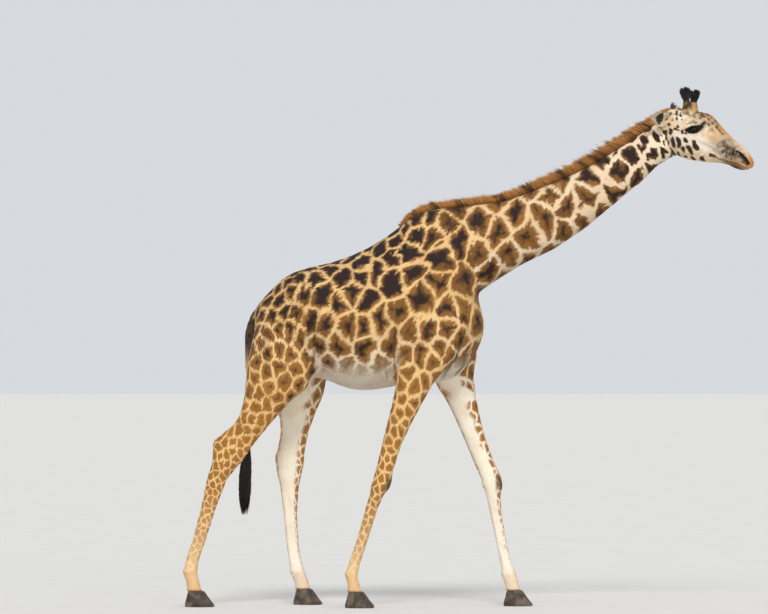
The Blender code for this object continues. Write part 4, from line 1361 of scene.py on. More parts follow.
# each part of the skin gets its own rectangle of the map: left, low, width, height
skinSheet = {
    0: (0.00, 0.00, 0.46, 0.50), 1: (0.47, 0.00, 0.33, 0.50), 2: (0.00, 0.51, 0.46, 0.49),
    3: (0.81, 0.00, 0.19, 0.24), 4: (0.81, 0.25, 0.19, 0.24), 5: (0.47, 0.51, 0.25, 0.24),
    6: (0.47, 0.76, 0.25, 0.24), 7: (0.73, 0.51, 0.05, 0.30), 8: (0.79, 0.51, 0.20, 0.23),
    9: (0.79, 0.76, 0.20, 0.23),
}
hideFaces = {
    "centres": hide["points"][hide["triangles"]].mean(1),
    "normals": unit(hide["normals"][hide["triangles"]].mean(1)),
    "region": hide["region"][hide["triangles"][:, 0]],
}


def placeOnSheet(points, region, normals):
    along, turn = chartPlace(points, region)
    for side, number in earRegion.items():
        pick = region == number
        share, across, opens = earFrame(points[pick], side)
        # an ear's two faces lie side by side
        apart = np.where(normals[pick] @ opens > 0, 0.25, -0.25)
        along[pick], turn[pick] = share * 0.2, np.clip(across / 0.16, -0.45, 0.45) * 0.5 + apart
    return columns(along, turn)


def skinMap():
    region, normals = hideFaces["region"], hideFaces["normals"]
    middle = placeOnSheet(hideFaces["centres"], region, normals)[:, 1:]
    spots = (hide["points"][hide["triangles"][:, k]] for k in range(3))
    corners = np.stack([placeOnSheet(spot, region, normals) for spot in spots], 1)
    turn = corners[..., 1]
    turn -= np.round(turn - middle) * (region < 8)[:, None]
    for number, (left, low, width, height) in skinSheet.items():
        part = corners[region == number]
        start, end = part.reshape(-1, 2).min(0), part.reshape(-1, 2).max(0)
        part = (part - start) / np.maximum(end - start, 1e-6) * (width * 0.98, height * 0.98)
        corners[region == number] = part + (left + width * 0.01, low + height * 0.01)
    return corners


hideMesh = meshFromArrays("hide", hide["points"], hide["triangles"])
addField(hideMesh, "patchField", hide["patch"])
addField(hideMesh, "tintField", hide["tint"])
addField(hideMesh, "hairField", np.tile((0.35, 0.5, 0.5, 0.0), (len(hide["points"]), 1)))
fill(hideMesh.uv_layers.new(name="OFBake").data, "uv", skinMap())
addPiece("hide", hideMesh, hideMaterial, fleshNodes + ["ear_right", "ear_left"])
print("skin placed")


def lieOfCoat(points, normals, region):
    flow = np.zeros_like(points)
    ways = {
        0: -alongLine(points, bodyAxis)[2] + (0, 0, -0.40),
        1: -alongLine(points, neckAxis)[2] + (0, 0, -0.25),
        2: headRotation @ (-1.0, 0.0, -0.1),
        7: (0, 0, -1.0),
        8: headRotation @ earAxes("right")[0],
        9: headRotation @ earAxes("left")[0],
    }
    for number, line in limbLines.items():
        slopes = np.diff(line[:, 1]) / np.diff(line[:, 0])
        ways[number] = columns(-np.interp(points[:, 2], line[:-1, 0], slopes), 0.0, -1.0)
    for number, way in ways.items():
        flow = np.where((region == number)[:, None], way, flow)
    return unit(flatOn(spread(unit(flow), hide["edges"], 0.5, 14), normals))


hide["flow"] = lieOfCoat(hide["points"], hide["normals"], hide["region"])

tuftMake = {
    # length and width in metres, lift in degrees
    "body": (0.0240, 0.0058, 5.5),
    "neck": (0.0215, 0.0054, 5.5),
    "thigh": (0.0210, 0.0052, 5.2),
    "shank": (0.0115, 0.0038, 5.0),
    "face": (0.0095, 0.0032, 5.5),
    "muzzle": (0.0055, 0.0022, 5.0),
    "ear": (0.0105, 0.0024, 7.0),
    "tail": (0.0160, 0.0036, 9.0),
    "horn": (0.0100, 0.0028, 9.0),
}
coatMake = {
    "swing": 0.16,  # how far tufts turn aside from the lie of the coat
    "sunk": 0.0006,
    "spread": 0.003,  # size of a tuft's patch on the map
    # regions, side of the body (0 both), number of tufts
    "pieces": {
        "coatTrunkRight": ((0,), -1, 46000),
        "coatTrunkLeft": ((0,), 1, 46000),
        "coatNeckRight": ((1,), -1, 27000),
        "coatNeckLeft": ((1,), 1, 27000),
        "coatForelegRight": ((3,), 0, 25000),
        "coatForelegLeft": ((4,), 0, 25000),
        "coatHindlegRight": ((5,), 0, 26000),
        "coatHindlegLeft": ((6,), 0, 26000),
        "coatHead": ((2,), 0, 42000),
        "coatTail": ((7,), 0, 2600),
        "coatEars": ((8, 9), 0, 7000),
    },
}


def tuftSizes(points, normals, region):
    style = {name: np.array(row) for name, row in tuftMake.items()}
    down = step(0.75, 1.6, points[:, 2])[:, None]
    ahead = toHead(points)[:, :1]
    out = np.zeros((len(points), 3))
    for numbers, size in (((0,), style["body"]), ((7,), style["tail"]), ((8, 9), style["ear"]),
                          ((1,), mix(style["neck"], style["face"], step(-0.38, -0.02, ahead))),
                          ((3, 4, 5, 6), mix(style["shank"], style["thigh"], down)),
                          ((2,), mix(style["face"], style["muzzle"], step(0.34, 0.52, ahead)))):
        out = np.where(np.isin(region, numbers)[:, None], size, out)
    # hair stands out a little more below the belly, throat and chest
    below = step(-0.35, -0.9, normals[:, 2]) * (region <= 1)
    out[:, 2] += below * 6.0
    out[:, 0] *= 1.0 + 0.25 * below
    return out


def drawRoots(source, faces, count, chance=1.0):
    # spots spread evenly by area over some faces
    triangles = source["triangles"][faces]
    a, b, c = (source["points"][triangles[:, k]] for k in range(3))
    total = np.cumsum(np.linalg.norm(np.cross(b - a, c - a), axis=1) * 0.5 * chance)
    spots = (np.arange(count) + rng.random(count)) / count * total[-1]
    pick = np.minimum(np.searchsorted(total, spots), len(faces) - 1)
    first, second = np.sqrt(rng.random(count)), rng.random(count)
    shares = columns(1 - first, first * (1 - second), first * second)

    def at(key):
        return (source[key][triangles[pick]] * shares[..., None]).sum(1)

    return at, source["region"][triangles[pick, 0]]


def growCoat(name, source, faces, count, chance, sheetPlace, sizes):
    at, region = drawRoots(source, faces, count, chance)
    roots, normals = at("points"), unit(at("normals"))
    flow = unit(flatOn(at("flow"), normals))
    swing = rng.normal(0, coatMake["swing"], count)[:, None]
    flow = unit(flow + np.cross(normals, flow) * swing)
    aside = np.cross(normals, flow)
    size = sizes(roots, normals, region)
    length = size[:, :1] * rng.uniform(0.75, 1.15, (count, 1))
    width = size[:, 1:2] * rng.uniform(0.8, 1.2, (count, 1))
    lift = np.radians(size[:, 2:3] * rng.uniform(0.5, 1.5, (count, 1)))
    base = roots - normals * coatMake["sunk"]
    tip = base + flow * length * np.cos(lift) + normals * length * np.sin(lift)
    risen = normals * (length * 0.38 * np.sin(lift) + width * 0.10 + 0.0004)
    middle = base + flow * length * 0.38 + risen
    corners = [base - aside * width / 2, base + aside * width / 2, middle, tip]
    spots = np.stack(corners, 1).reshape(-1, 3)
    pattern = np.array([(0, 2, 1), (1, 2, 3), (3, 2, 0), (0, 1, 3)])
    triangles = (np.arange(count)[:, None, None] * 4 + pattern).reshape(-1, 3)
    mesh = meshFromArrays(name, spots, triangles)
    patch = at("patch") if source.get("plain") else markingsAt(roots, normals, region)[0]
    addField(mesh, "patchField", np.repeat(patch, 4, 0))
    addField(mesh, "tintField", np.repeat(at("tint"), 4, 0))
    # red: light or dark tuft, green: place across it, blue: root to tip, which paints shade at the
    # root
    hair = np.ones((count, 4, 4))
    hair[:, :, 0] = rng.beta(2.2, 2.2, count)[:, None]
    hair[:, :, 1] = (0.0, 1.0, 0.5, 0.5)
    hair[:, :, 2] = (0.0, 0.0, 0.4, 1.0)
    addField(mesh, "hairField", hair)
    offsets = np.array([(-0.5, -0.5), (0.5, -0.5), (0.0, -0.4 / 3), (0.0, 0.5)])
    addMap(mesh, sheetPlace(roots, region, normals), offsets * coatMake["spread"], triangles)
    # the hair of the ears is fluffed up and takes light from above
    leaf = np.repeat(region >= 8, 4)[:, None]
    own = np.where(leaf, 0.75, 0.25) * normalsOf(spots, triangles)
    shading = np.where(leaf, 0.30, 0.82) * np.repeat(normals, 4, 0) + own
    mesh.normals_split_custom_set_from_vertices(unit(shading + leaf * (0.0, 0.0, 0.55)))
    addPiece(name, mesh, tuftMaterial)


def growWholeCoat():
    # more tufts where they are small, none in the nostrils, the mouth and the eyes' openings
    centres, region = hideFaces["centres"], hideFaces["region"]
    size = tuftSizes(centres, hideFaces["normals"], region)
    chance = tuftMake["body"][0] * tuftMake["body"][1] / (size[:, 0] * size[:, 1])
    bald = inNostril + inMouth
    for side in (-1, 1):
        along, out, up = eyeFrame(toHead(hide["points"]), side)
        upper, lower = lidHeights(along)
        opening = (up < upper + 0.0015) & (up > lower - 0.0015) & (np.abs(along) < 0.029)
        bald += opening & (out > -0.02) & (hide["region"] == 2)
    chance = np.minimum(chance, 6.0) * np.clip(1.0 - bald[hide["triangles"]].max(1) * 1.4, 0, 1)
    for name, (numbers, side, count) in coatMake["pieces"].items():
        wanted = np.isin(region, numbers) & ((side == 0) | (centres[:, 1] * side > 0))
        faces = np.nonzero(wanted)[0]
        growCoat(name, hide, faces, count, chance[faces], placeOnSheet, tuftSizes)


growWholeCoat()
print("coat grown")


def growStrands(name, paths, widths, aside, strand, place, material, nodes=()):
    # three-sided locks that end in a point; paths is strands x levels x 3
    count, levels = paths.shape[:2]
    ways = unit(np.diff(paths, axis=1))
    aside = unit(flatOn(aside, ways[:, 0]))
    rings = []
    for level in range(levels - 1):
        out = unit(np.cross(aside, ways[:, level]))
        half = widths[:, level : level + 1] / 2
        low = paths[:, level] - out * half * 0.35
        rings += [low - aside * half, low + aside * half, paths[:, level] + out * half * 0.75]
    spots = np.stack(rings + [paths[:, -1]], 1)
    perStrand = spots.shape[1]
    pattern = [(0, 2, 1)]
    for low in range(0, perStrand - 1, 3):
        for k in range(3):
            after = (k + 1) % 3
            if low + 4 == perStrand:
                pattern.append((low + k, low + after, perStrand - 1))
            else:
                high = low + 3
                pattern += [(low + k, low + after, high + after), (low + k, high + after, high + k)]
    starts = np.arange(count)[:, None, None] * perStrand
    triangles = (starts + np.array(pattern)).reshape(-1, 3)[:, ::-1]
    mesh = meshFromArrays(name, spots.reshape(-1, 3), triangles)
    # red: root to tip, green: light or dark strand, blue: dark bar
    share = np.concatenate([np.repeat(np.linspace(0, 1, levels)[:-1], 3), [1.0]])
    addField(mesh, "strandField", columns(share, strand[:, :1], strand[:, 1:], 1.0))
    turn = np.tile((-0.5, 0.5, 0.0), levels)[:perStrand]
    addMap(mesh, place, columns(turn, share - 0.5) * coatMake["spread"], triangles)
    addPiece(name, mesh, material, nodes)


hideTree = treeOf(hide["points"], hide["triangles"])
maneMake = {
    "strands": 11800,
    "halfWidth": 0.015,
    "lean": 0.50,  # towards the withers
    "width": 0.0036,
    "rootsBelow": 0.004,
    "lock": 0.013,  # strands stand together in small locks of this length
}


def maneCrest():
    # the crest, read from the skin, and the mane's height over it, read from its solid
    maneTree = treeOf(*nodeArrays("mane"))
    low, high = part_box("mane")
    levels = np.linspace(low.x + 0.004, high.x - 0.004, 150)
    down = Vector((0, 0, -1))
    hits = [hideTree.ray_cast(Vector((x, 0.0, 3.9)), down, 3.0)[0] for x in levels]
    crest = np.array([(hit.x, hit.z) for hit in hits if hit is not None])
    padded = np.pad(crest[:, 1], 4, mode="edge")
    crest[:, 1] = np.convolve(padded, np.ones(9) / 9, mode="valid")
    slope = unit(np.gradient(crest, axis=0))
    heights = []
    for (x, z), (wayX, wayZ) in zip(crest, slope):
        up, spot = Vector((-wayZ, 0.0, wayX)), Vector((x, 0.0, z))
        hit = maneTree.ray_cast(spot + up * 0.25, -up, 0.26)[0]
        heights.append((hit - spot).dot(up) if hit is not None else 0.006)
    run = np.concatenate([[0], np.cumsum(np.hypot(*np.diff(crest, axis=0).T))])
    return run, crest, slope, np.maximum(np.array(heights), 0.006)


def makeMane():
    run, crest, slope, heights = maneCrest()
    count = maneMake["strands"]
    spot = (np.arange(count) + rng.random(count)) / count * run[-1]
    curves = (crest[:, 0], crest[:, 1], slope[:, 0], slope[:, 1], heights)
    x, z, wayX, wayZ, height = (np.interp(spot, run, curve) for curve in curves)
    across = np.clip(rng.normal(0, 0.55, count), -1, 1)
    y = across * maneMake["halfWidth"]
    lock = np.floor(spot / maneMake["lock"]).astype(int)
    draw = np.random.default_rng(3)
    lockLean = draw.normal(0, 0.07, lock.max() + 2)[lock]
    lockHeight = draw.uniform(0.90, 1.08, lock.max() + 2)[lock]
    reach = height * lockHeight * rng.uniform(0.62, 1.10, count) * (1 - 0.25 * np.abs(across))
    reach = (reach + 0.010) * np.where(draw.random(count) < 0.07, 1.22, 1.0)
    up, back = columns(-wayZ, 0.0, wayX), columns(-wayX, 0.0, -wayZ)
    aside = np.array((0.0, 1.0, 0.0))
    lean = maneMake["lean"] + lockLean + rng.normal(0, 0.07, count)
    root = columns(x, y, z) - up * (maneMake["rootsBelow"] + 0.10 * np.abs(y)[:, None])
    splay = across * 0.10 + rng.normal(0, 0.05, count)
    levels = []
    for share in (0.0, 0.45, 0.8, 1.0):
        lying = back * (lean * (0.5 + 0.5 * share))[:, None]
        levels.append(root + (up + lying + aside * splay[:, None]) * reach[:, None] * share)
    width = maneMake["width"] * rng.uniform(0.7, 1.2, count)
    # dark bars where a patch reaches the crest, and darker root ends
    beside = columns(x, np.where(y >= 0, 0.02, -0.02), z - 0.02)
    upward = np.tile((0.0, 0.0, 1.0), (count, 1))
    patch, _ = markingsAt(beside, upward, np.ones(count, int))
    bar = step(0.03, 0.16, patch[:, 0]) * step(-0.6, 0.1, patch[:, 1])
    bar = bar * step(0.20, 0.55, draw.random(count))
    bar = np.clip(np.maximum(bar, step(0.86, 0.93, draw.random(count)) * 0.75), 0, 0.92)
    strand = columns(rng.beta(2, 2, count), bar)
    growStrands("maneHair", np.stack(levels, 1), columns(width, width * 0.85, width * 0.5),
                np.cross(up, aside), strand, columns(spot, y), maneMaterial, ["mane"])


makeMane()

tailMake = {
    "strands": 1500,
    "width": 0.0036,
    "rootBand": 0.14,
    "ends": 0.22,  # the strands end over this height
    "wave": 0.011,
    "reach": 0.004,  # past the solid's front and back
}


def makeTailTuft():
    low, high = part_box("tail_tuft")
    count = tailMake["strands"]
    points, _ = nodeArrays("tail_tuft")
    levels = np.linspace(low.z, high.z, 12)
    bands = [points[np.abs(points[:, 2] - level) < 0.05, 0] for level in levels]
    middle = [(band.min() + band.max()) / 2 for band in bands]
    radius = [(band.max() - band.min()) / 2 for band in bands]
    angle = rng.uniform(0, 2 * math.pi, count)
    share = np.sqrt(rng.random(count))
    startZ = high.z + 0.03 - rng.random(count) * tailMake["rootBand"]
    endZ = low.z + (rng.random(count) ** 1.6) * tailMake["ends"]
    path = []
    for part in (0.0, 0.14, 0.35, 0.6, 0.82, 1.0):
        z = mix(startZ, endZ, part)
        reach = np.interp(z, levels, radius) * 0.93 * share
        if part == 0.0:
            reach = np.minimum(reach, 0.012)
        turn = angle + 0.25 * np.sin(part * 5 + angle * 3)
        sway = tailMake["wave"] * np.sin(part * 7 + angle * 2.0) * part
        x = np.interp(z, levels, middle) + np.cos(turn) * reach + sway
        x = np.clip(x, low.x - tailMake["reach"], high.x + tailMake["reach"])
        path.append(columns(x, np.sin(turn) * reach + sway * 0.5, z))
    width = tailMake["width"] * rng.uniform(0.7, 1.2, count)[:, None]
    aside = columns(-np.sin(angle), np.cos(angle), 0.0)
    strand = columns(rng.beta(2, 2, count), rng.random(count) * 0.35)
    growStrands("tailTuftHair", np.stack(path, 1), width * np.array([1.0, 1.05, 1.0, 0.85, 0.6]),
                aside, strand, columns(startZ, angle), blackMaterial, ["tail_tuft"])


makeTailTuft()
print("mane and tail grown")

hornMake = {
    "voxel": 0.0055,
    "rounds": 9,
    "depth": 0.002,
    "dusk": {"right": 0.95, "left": 0.30},  # how dark the stem is
    "stem": 1.10,  # width of the stem, as a share of the solid's
    "end": 0.55,  # width of the horn's end under the hair
    "lowered": 0.027,
    "flare": 0.009,
    "tufts": 2400,
    "brushBend": {"right": -0.026, "left": -0.001},  # how far the brush leans to the front
    "brushStrands": 1900,
    "brushLocks": 17,
    "brushLength": (0.047, 0.015),  # low and high on the horn's end
    "brushWidth": 0.0036,
}


def hornMarks(points, share, normals, side):
    # dark stem with a black end; the foot keeps the colours of the head beside it
    mottled = step(-0.1, 0.8, waveSum(points, mottleWaves))
    held = np.clip(share, 0, 1)
    dusk = hornMake["dusk"][side] * (0.78 + 0.22 * mottled)
    dusk = dusk * step(0.12, 0.5, share + 0.15 * mottled)
    dark = np.clip(step(0.82, 1.05, share + 0.12 * mottled) * 0.95 + dusk, 0, 0.95)
    own = columns(0.25 - 0.2 * held, dark, 0.30 + 0.30 * held, 0.35 * mottled)
    _, beside = markingsAt(points, normals, np.full(len(points), 2))
    return np.clip(mix(beside, own, step(0.10, 0.40, share)[:, None]), 0, 1)


def makeHorn(side):
    names = [f"horn_{side}", f"horn_tuft_{side}"]
    solid = (hornMake[key] for key in ("voxel", "rounds", "depth"))
    points, triangles = smoothSolid(names, *solid)
    hornBox, tipBox = (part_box(name) for name in names)
    foot = points[points[:, 2] < hornBox[0].z + 0.03].mean(0)
    top = points[points[:, 2] > tipBox[1].z - 0.03].mean(0)
    way = unit(top - foot)
    # the hair bundle's own solid becomes a thinner horn end under the hair
    height = (points - foot) @ way
    tuftStart = (tipBox[0].z - foot[2]) / way[2] - 0.004
    axis = foot + height[:, None] * way
    thin = step(tuftStart - 0.01, tuftStart + 0.03, height)[:, None]
    slim = mix(1.0, hornMake["end"], thin)
    slim = slim * mix(1.0, hornMake["stem"], step(0.02, 0.07, height))[:, None]
    points = axis + (points - axis) * slim - way * thin * hornMake["lowered"]
    # the foot flares and goes down into the skull
    flare = step(0.050, 0.0, height)
    points = points + unit(points - axis) * flare[:, None] * hornMake["flare"]
    points = sinkFoot(points, flare**1.5, 0.005)
    normals = normalsOf(points, triangles)
    source = {
        "points": points, "triangles": triangles, "normals": normals,
        "region": np.full(len(points), 2), "flow": unit(flatOn(way, normals)),
        "patch": np.tile((-0.2, -1.0, 0.4, 0.0), (len(points), 1)), "plain": True,
        "tint": hornMarks(points, np.clip(height / tuftStart, 0, 1.5), normals, side),
    }
    mesh = meshFromArrays(f"horn_{side}_skin", points, triangles)
    addField(mesh, "patchField", source["patch"])
    addField(mesh, "tintField", source["tint"])
    addField(mesh, "hairField", np.tile((0.4, 0.5, 0.5, 0.0), (len(points), 1)))
    addPiece(f"hornSkin_{side}", mesh, hideMaterial, names[:1])

    def hornPlace(roots, *_):
        offset = roots - foot
        rise = offset @ way
        flat = offset - rise[:, None] * way
        return columns(rise, np.arctan2(flat[:, 1], flat[:, 0]))

    def hornSizes(roots, *_):
        return np.tile(tuftMake["horn"], (len(roots), 1))

    start = height[triangles[:, 0]] - tuftStart - 0.006
    stem, end = np.nonzero(start < 0)[0], np.nonzero(start > 0)[0]
    growCoat(f"hornCoat_{side}", source, stem, hornMake["tufts"], 1.0, hornPlace, hornSizes)
    growBrush(side, source, end, hornPlace, foot, way, tuftStart)


def growBrush(side, source, faces, hornPlace, foot, way, tuftStart):
    # black brush round the tip, in locks
    count, locks = hornMake["brushStrands"], hornMake["brushLocks"]
    at, _ = drawRoots(source, faces, count)
    roots, out = at("points"), unit(at("normals"))
    outFlat = out - (out @ way)[:, None] * way
    height = (roots - foot) @ way
    rise = np.interp(height, [tuftStart, tuftStart + 0.09], hornMake["brushLength"])[:, None]
    turn = (np.arctan2(out[:, 1], out[:, 0]) + math.pi) * 1.6
    lock = np.floor(turn + 2.0 * height / 0.05).astype(int) % locks
    lockRise = np.random.default_rng(12).uniform(0.50, 1.30, locks)[lock][:, None]
    rise = rise * rng.uniform(0.80, 1.05, (count, 1)) * lockRise
    spreadOut = 0.46 + 0.08 * rng.standard_normal((count, 1)) + 0.40 * (lockRise - 0.9)
    bend = headRotation @ (hornMake["brushBend"][side], 0.0, 0.0)
    highest = np.clip((height - tuftStart) / 0.09, 0.0, 1.0)[:, None]
    levels = [roots - out * 0.002 + bend * highest * 0.5]
    for part in (0.35, 0.75, 1.0):
        wide = spreadOut * (1.0 - 0.2 * part) * (0.85 + 0.5 * highest)
        levels.append(roots + (way + outFlat * wide) * rise * part + bend * (highest + part) * 0.5)
    width = (hornMake["brushWidth"] * rng.uniform(0.7, 1.2, count))[:, None]
    strand = columns(rng.beta(2, 2, count), rng.random(count) * 0.2)
    aside = np.cross(out, way) + rng.normal(0, 0.1, (count, 3))
    growStrands(f"hornTuft_{side}", np.stack(levels, 1), width * np.array([1.0, 0.9, 0.55]), aside,
                strand, hornPlace(roots), blackMaterial, [f"horn_tuft_{side}"])


for side in sideSign:
    makeHorn(side)
print("horns dressed")

eyeLook = {
    "irisTurn": math.radians(33),  # half angle of the iris seen from the ball's middle
    "pupil": (0.30, 0.17),  # half length and half height of the pupil, in ball radii
    "cornea": 0.0011,
    "rings": 30,
    "turns": 44,
    "iris": (srgb(11, 8, 7), srgb(27, 17, 11)),
    "irisRim": srgb(16, 11, 9),
    "pupilColour": srgb(5, 4, 5),
    "white": srgb(36, 27, 23),
}


def makeEyeMaterial():
    material, shader, sheet = newMaterial("wetEye", 0.28, Roughness=0.07)
    # red: 1 at the pupil's edge, green: 1 at the iris's edge
    parts = sheet.split(sheet.field("eyeField")["Color"])
    streak = sheet.soft(sheet.noise(sheet.place(), 420.0, 3.0), 0.3, 0.7)
    iris = sheet.blend(streak, *eyeLook["iris"])
    iris = sheet.blend(sheet.soft(parts[1], 0.75, 1.0), iris, eyeLook["irisRim"])
    tone = sheet.blend(sheet.soft(parts[0], 0.9, 1.05), eyeLook["pupilColour"], iris)
    tone = sheet.blend(sheet.soft(parts[1], 0.98, 1.10), tone, eyeLook["white"])
    sheet.feed(shader, {"Base Color": tone})
    return material


eyeMaterial = makeEyeMaterial()


def ringFaces(rows, turns):
    # faces round a stack of rings, closed by the two points that follow them
    faces, last = [], (rows - 1) * turns
    bottom, top = rows * turns, rows * turns + 1
    for number in range(turns):
        after = (number + 1) % turns
        faces += [(bottom, after, number), (top, last + number, last + after)]
        for low in range(0, last, turns):
            a, b = low + number, low + after
            faces += [(a, b, b + turns), (a, b + turns, a + turns)]
    return np.array(faces)


def makeEye(side):
    sign, rings, turns = sideSign[side], eyeLook["rings"], eyeLook["turns"]
    polar = np.repeat(math.pi * np.arange(1, rings) / rings, turns)
    angle = np.tile(2 * math.pi * np.arange(turns) / turns, rings - 1)
    polar, angle = np.append(polar, (0.0, math.pi)), np.append(angle, (0.0, 0.0))
    x, y, z = np.sin(polar) * np.cos(angle), np.cos(polar), np.sin(polar) * np.sin(angle)
    triangles = ringFaces(rings - 1, turns)
    bulge = step(eyeLook["irisTurn"] * 1.15, 0.0, polar) * eyeLook["cornea"]
    pupil = np.hypot(x / eyeLook["pupil"][0], z / eyeLook["pupil"][1])
    size = eyeMake["radius"] + bulge
    ball = fromEyeFrame(x * size, y * size, z * size, sign)
    outward = (normalsOf(ball, triangles) * (ball - ball.mean(0))).sum() > 0
    mesh = meshFromArrays(f"eye_{side}", ball, triangles if outward else triangles[:, ::-1])
    iris = np.minimum(polar / eyeLook["irisTurn"], 2)
    addField(mesh, "eyeField", columns(np.minimum(pupil, 2), iris, 0.0, 1.0))
    addPiece(f"eyeball_{side}", mesh, eyeMaterial, [f"eye_{side}"])


lashMake = {"count": 150, "upper": 0.026, "lower": 0.010, "widths": (0.0015, 0.0013, 0.0008)}


def makeLashes(side):
    # along the upper lid, and every fourth one below
    count = lashMake["count"]
    along = np.linspace(-0.93, 0.95, count) * eyeMake["halfLength"] + rng.normal(0, 0.0004, count)
    upper, lower = lidHeights(along)
    below = np.arange(count) % 4 == 3
    up = np.where(below, lower - 0.001, upper + 0.001)
    out = np.sqrt(np.maximum((eyeMake["radius"] + 0.002) ** 2 - along**2 - up**2, 0))
    reach = np.where(below, lashMake["lower"], lashMake["upper"]) * rng.uniform(0.75, 1.1, count)
    levels = []
    for share in (0.0, 0.35, 0.7, 1.0):
        curl = np.where(below, -0.5, 1.0) * reach * (0.10 * share - 0.45 * share * share)
        levels.append(fromEyeFrame(
            along * (1 + 0.25 * share) + reach * 0.20 * share,
            out + reach * share * (1.0 - 0.25 * share) * 0.85, up + curl, sideSign[side],
        ))
    aside = np.tile(headRotation @ (1.0, 0.0, 0.0), (count, 1))
    growStrands(f"lashes_{side}", np.stack(levels, 1), np.tile(lashMake["widths"], (count, 1)),
                aside, columns(rng.random(count), 0.0), columns(along, up), blackMaterial)


for side in sideSign:
    makeEye(side)
    makeLashes(side)
print("eyes set")

fringeMake = {"strands": 1100, "length": (0.010, 0.024), "widths": (0.0012, 0.0010, 0.0006)}


def makeEarFringe(side):
    # long hair inside the ear, thickest along its rims
    share, across, opens = earFrame(hideFaces["centres"], side)
    inner = (hideFaces["region"] == earRegion[side]) & (hideFaces["normals"] @ opens > 0.1)
    chance = step(0.90, 0.6, share) * (0.25 + step(0.018, 0.04, np.abs(across)))
    chance = chance * step(0.056, 0.046, np.abs(across))
    count, faces = fringeMake["strands"], np.nonzero(inner)[0]
    at, _ = drawRoots(hide, faces, count, chance[faces])
    roots, out, flow = at("points"), unit(at("normals")), unit(at("flow"))
    length = rng.uniform(*fringeMake["length"], (count, 1))
    levels = [roots - out * 0.001]
    for part in (0.4, 0.75, 1.0):
        levels.append(roots + (flow + out * 0.24 * (1.2 - 0.5 * part)) * length * part)
    # strands rooted in the painted shade of the ear's hollow get a dark bar
    strand = columns(rng.beta(2, 2, count), np.where(at("tint")[:, 1] > 0.4, 0.9, 0.0))
    growStrands(f"earHair_{side}", np.stack(levels, 1), np.tile(fringeMake["widths"], (count, 1)),
                np.cross(flow, out), strand, columns(*earFrame(roots, side)[:2]), creamMaterial)


for side in sideSign:
    makeEarFringe(side)

clawMake = {
    "turns": 40,
    "levels": (0.0, 0.02, 0.06, 0.13, 0.22, 0.32, 0.42, 0.52, 0.62, 0.72, 0.82, 0.90, 0.96, 1.0),
    "widths": ([0.0, 0.1, 0.5, 0.85, 1.0], [0.93, 0.99, 0.95, 0.84, 0.80]),
    "rings": 9.0,  # growth rings over the height
    "ringDepth": 0.0011,
    "slope": math.radians(52),
    "legMiddle": 0.19,  # which side of a claw faces its twin
    "sharp": math.radians(50),
}


def makeClawMaterial():
    material, shader, sheet = newMaterial("hoofHorn", 0.4)
    inputs = {"Scale": 70.0, "Stretch": (1.0, 1.0, 0.25), "Dark": srgb(38, 30, 26),
              "Light": srgb(78, 64, 54), "Wear": srgb(128, 110, 90), "Wear Share": 0.5}
    dress(shader, sheet, sheet.add("Group", inputs, node_tree=grainGroup), 0.0008, 0.7)
    return material


clawMaterial = makeClawMaterial()


def makeClaw(name):
    low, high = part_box(name)
    height, half, middleY = high.z, (high.y - low.y) / 2, (low.y + high.y) / 2
    outer = 1.0 if middleY > math.copysign(clawMake["legMiddle"], low.y) else -1.0
    angle = 2 * math.pi * np.arange(clawMake["turns"]) / clawMake["turns"]
    along, across = np.cos(angle), np.sin(angle)
    rings = []
    for share in clawMake["levels"]:
        z = share * height
        heel = low.x + 0.004 + 0.020 * share**1.5
        heel -= 0.004 * math.sin(math.pi * min(share * 1.6, 1.0))
        toe = high.x - 0.003 - (z / math.tan(clawMake["slope"])) * 0.97
        toe -= 0.006 * (1 - step(0.0, 0.10, share))
        wide = half * np.interp(share, *clawMake["widths"])
        wave = clawMake["ringDepth"] * math.sin(share * clawMake["rings"] * 2 * math.pi)
        pointed = 1.0 - 0.38 * np.maximum(along, 0.0) ** 2
        reach = wide * across * np.where(across > 0, pointed, 0.96) + wave * across
        # slightly hollow inner wall
        hollow = wide * 0.10 * np.sin(math.pi * np.clip(0.5 + 0.5 * along, 0, 1))
        reach += np.where(across < 0, hollow, 0.0)
        x = heel + (toe - heel) * (0.5 + 0.5 * np.copysign(np.abs(along) ** 0.86, along))
        rings.append(columns(x + wave * along, middleY + outer * reach * 0.985, z))
    ends = [rings[0].mean(0), rings[-1].mean(0) + (0, 0, 0.001)]
    triangles = ringFaces(len(rings), clawMake["turns"])
    points = np.vstack(rings + ends)
    mesh = meshFromArrays(name + "_claw", points, triangles if outer > 0 else triangles[:, ::-1])
    mesh.set_sharp_from_angle(angle=clawMake["sharp"])
    addPiece("claw_" + name[5:], mesh, clawMaterial, [name])


for name in sorted(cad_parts):
    if name.startswith("hoof_"):
        makeClaw(name)
print("hooves made")

stageMake = {
    "floorHalf": 400.0,
    "floorColour": (srgb(214, 212, 207), srgb(217, 215, 210)),
    "floorGrain": 2.0,
    "floorRough": 0.95,
    "sky": srgb(240, 243, 248),
    "skyStrength": 0.78,
    "lamps": {
        # height, side and softness in degrees, power
        "softKey": (44, 5, 20, 1.75),
        "lowFill": (8, 28, 45, 0.74),
    },
}


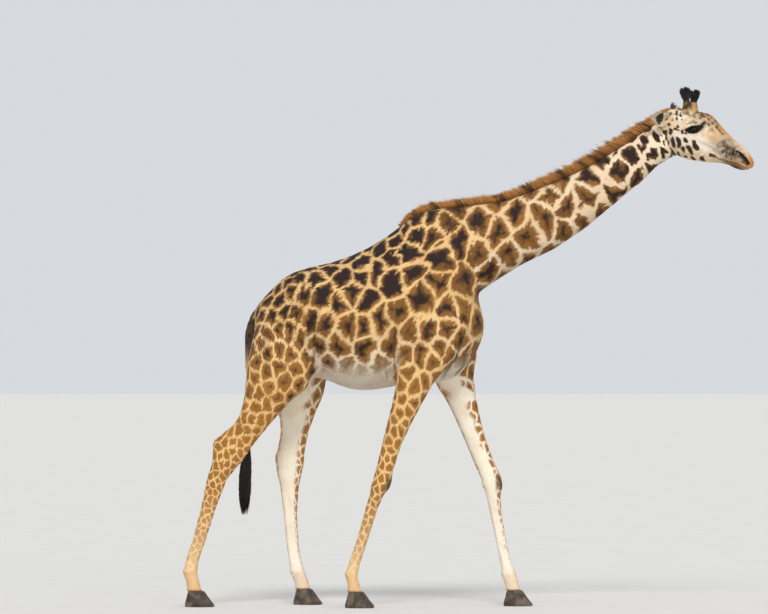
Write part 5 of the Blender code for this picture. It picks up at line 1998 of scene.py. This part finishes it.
def makeStage():
    corners = [(-1, -1, 0), (1, -1, 0), (1, 1, 0), (-1, 1, 0)]
    corners = np.array(corners) * stageMake["floorHalf"]
    mesh = meshFromArrays("floor", corners, np.array([(0, 1, 2), (0, 2, 3)]))
    floor = newObject("floor", mesh)
    material, shader, sheet = newMaterial("paleFloor", 0.05, Roughness=stageMake["floorRough"])
    dark, light = stageMake["floorColour"]
    inputs = {"Scale": stageMake["floorGrain"], "Dark": dark, "Light": light, "Wear": dark}
    grain = sheet.add("Group", inputs, node_tree=grainGroup)
    sheet.feed(shader, {"Base Color": grain["Color"]})
    mesh.materials.append(material)
    floor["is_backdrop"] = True
    scene.world = bpy.data.worlds.new("studio")
    scene.world.use_nodes = True
    background = scene.world.node_tree.nodes["Background"]
    background.inputs["Color"].default_value = stageMake["sky"]
    background.inputs["Strength"].default_value = stageMake["skyStrength"]
    for name, (*degrees, power) in stageMake["lamps"].items():
        high, side, softness = (math.radians(value) for value in degrees)
        lamp = bpy.data.lights.new(name, "SUN")
        lamp.energy, lamp.angle = power, softness
        holder = newObject(name, lamp)
        flat = math.cos(high)
        toLamp = Vector((math.sin(side) * flat, -math.cos(side) * flat, math.sin(high)))
        holder.location = toLamp * 20
        holder.rotation_mode = "QUATERNION"
        holder.rotation_quaternion = toLamp.to_track_quat("Z", "Y")


makeStage()

viewMake = {
    "place": (3.08, -29.85, 1.61),
    "turn": math.radians(7.0),
    "tiltUp": math.radians(0.82),
    "lens": 206.7,
    "sensor": 36.0,
    "farthest": 300.0,
}


def makeCamera():
    lens = bpy.data.cameras.new("camera")
    lens.lens, lens.sensor_width = viewMake["lens"], viewMake["sensor"]
    lens.clip_end = viewMake["farthest"]
    scene.camera = newObject("camera", lens)
    scene.camera.location = viewMake["place"]
    scene.camera.rotation_euler = (math.pi / 2 + viewMake["tiltUp"], 0.0, viewMake["turn"])


makeCamera()

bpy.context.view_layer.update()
total = sum(len(piece.data.polygons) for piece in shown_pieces())
print("triangles in all", total)
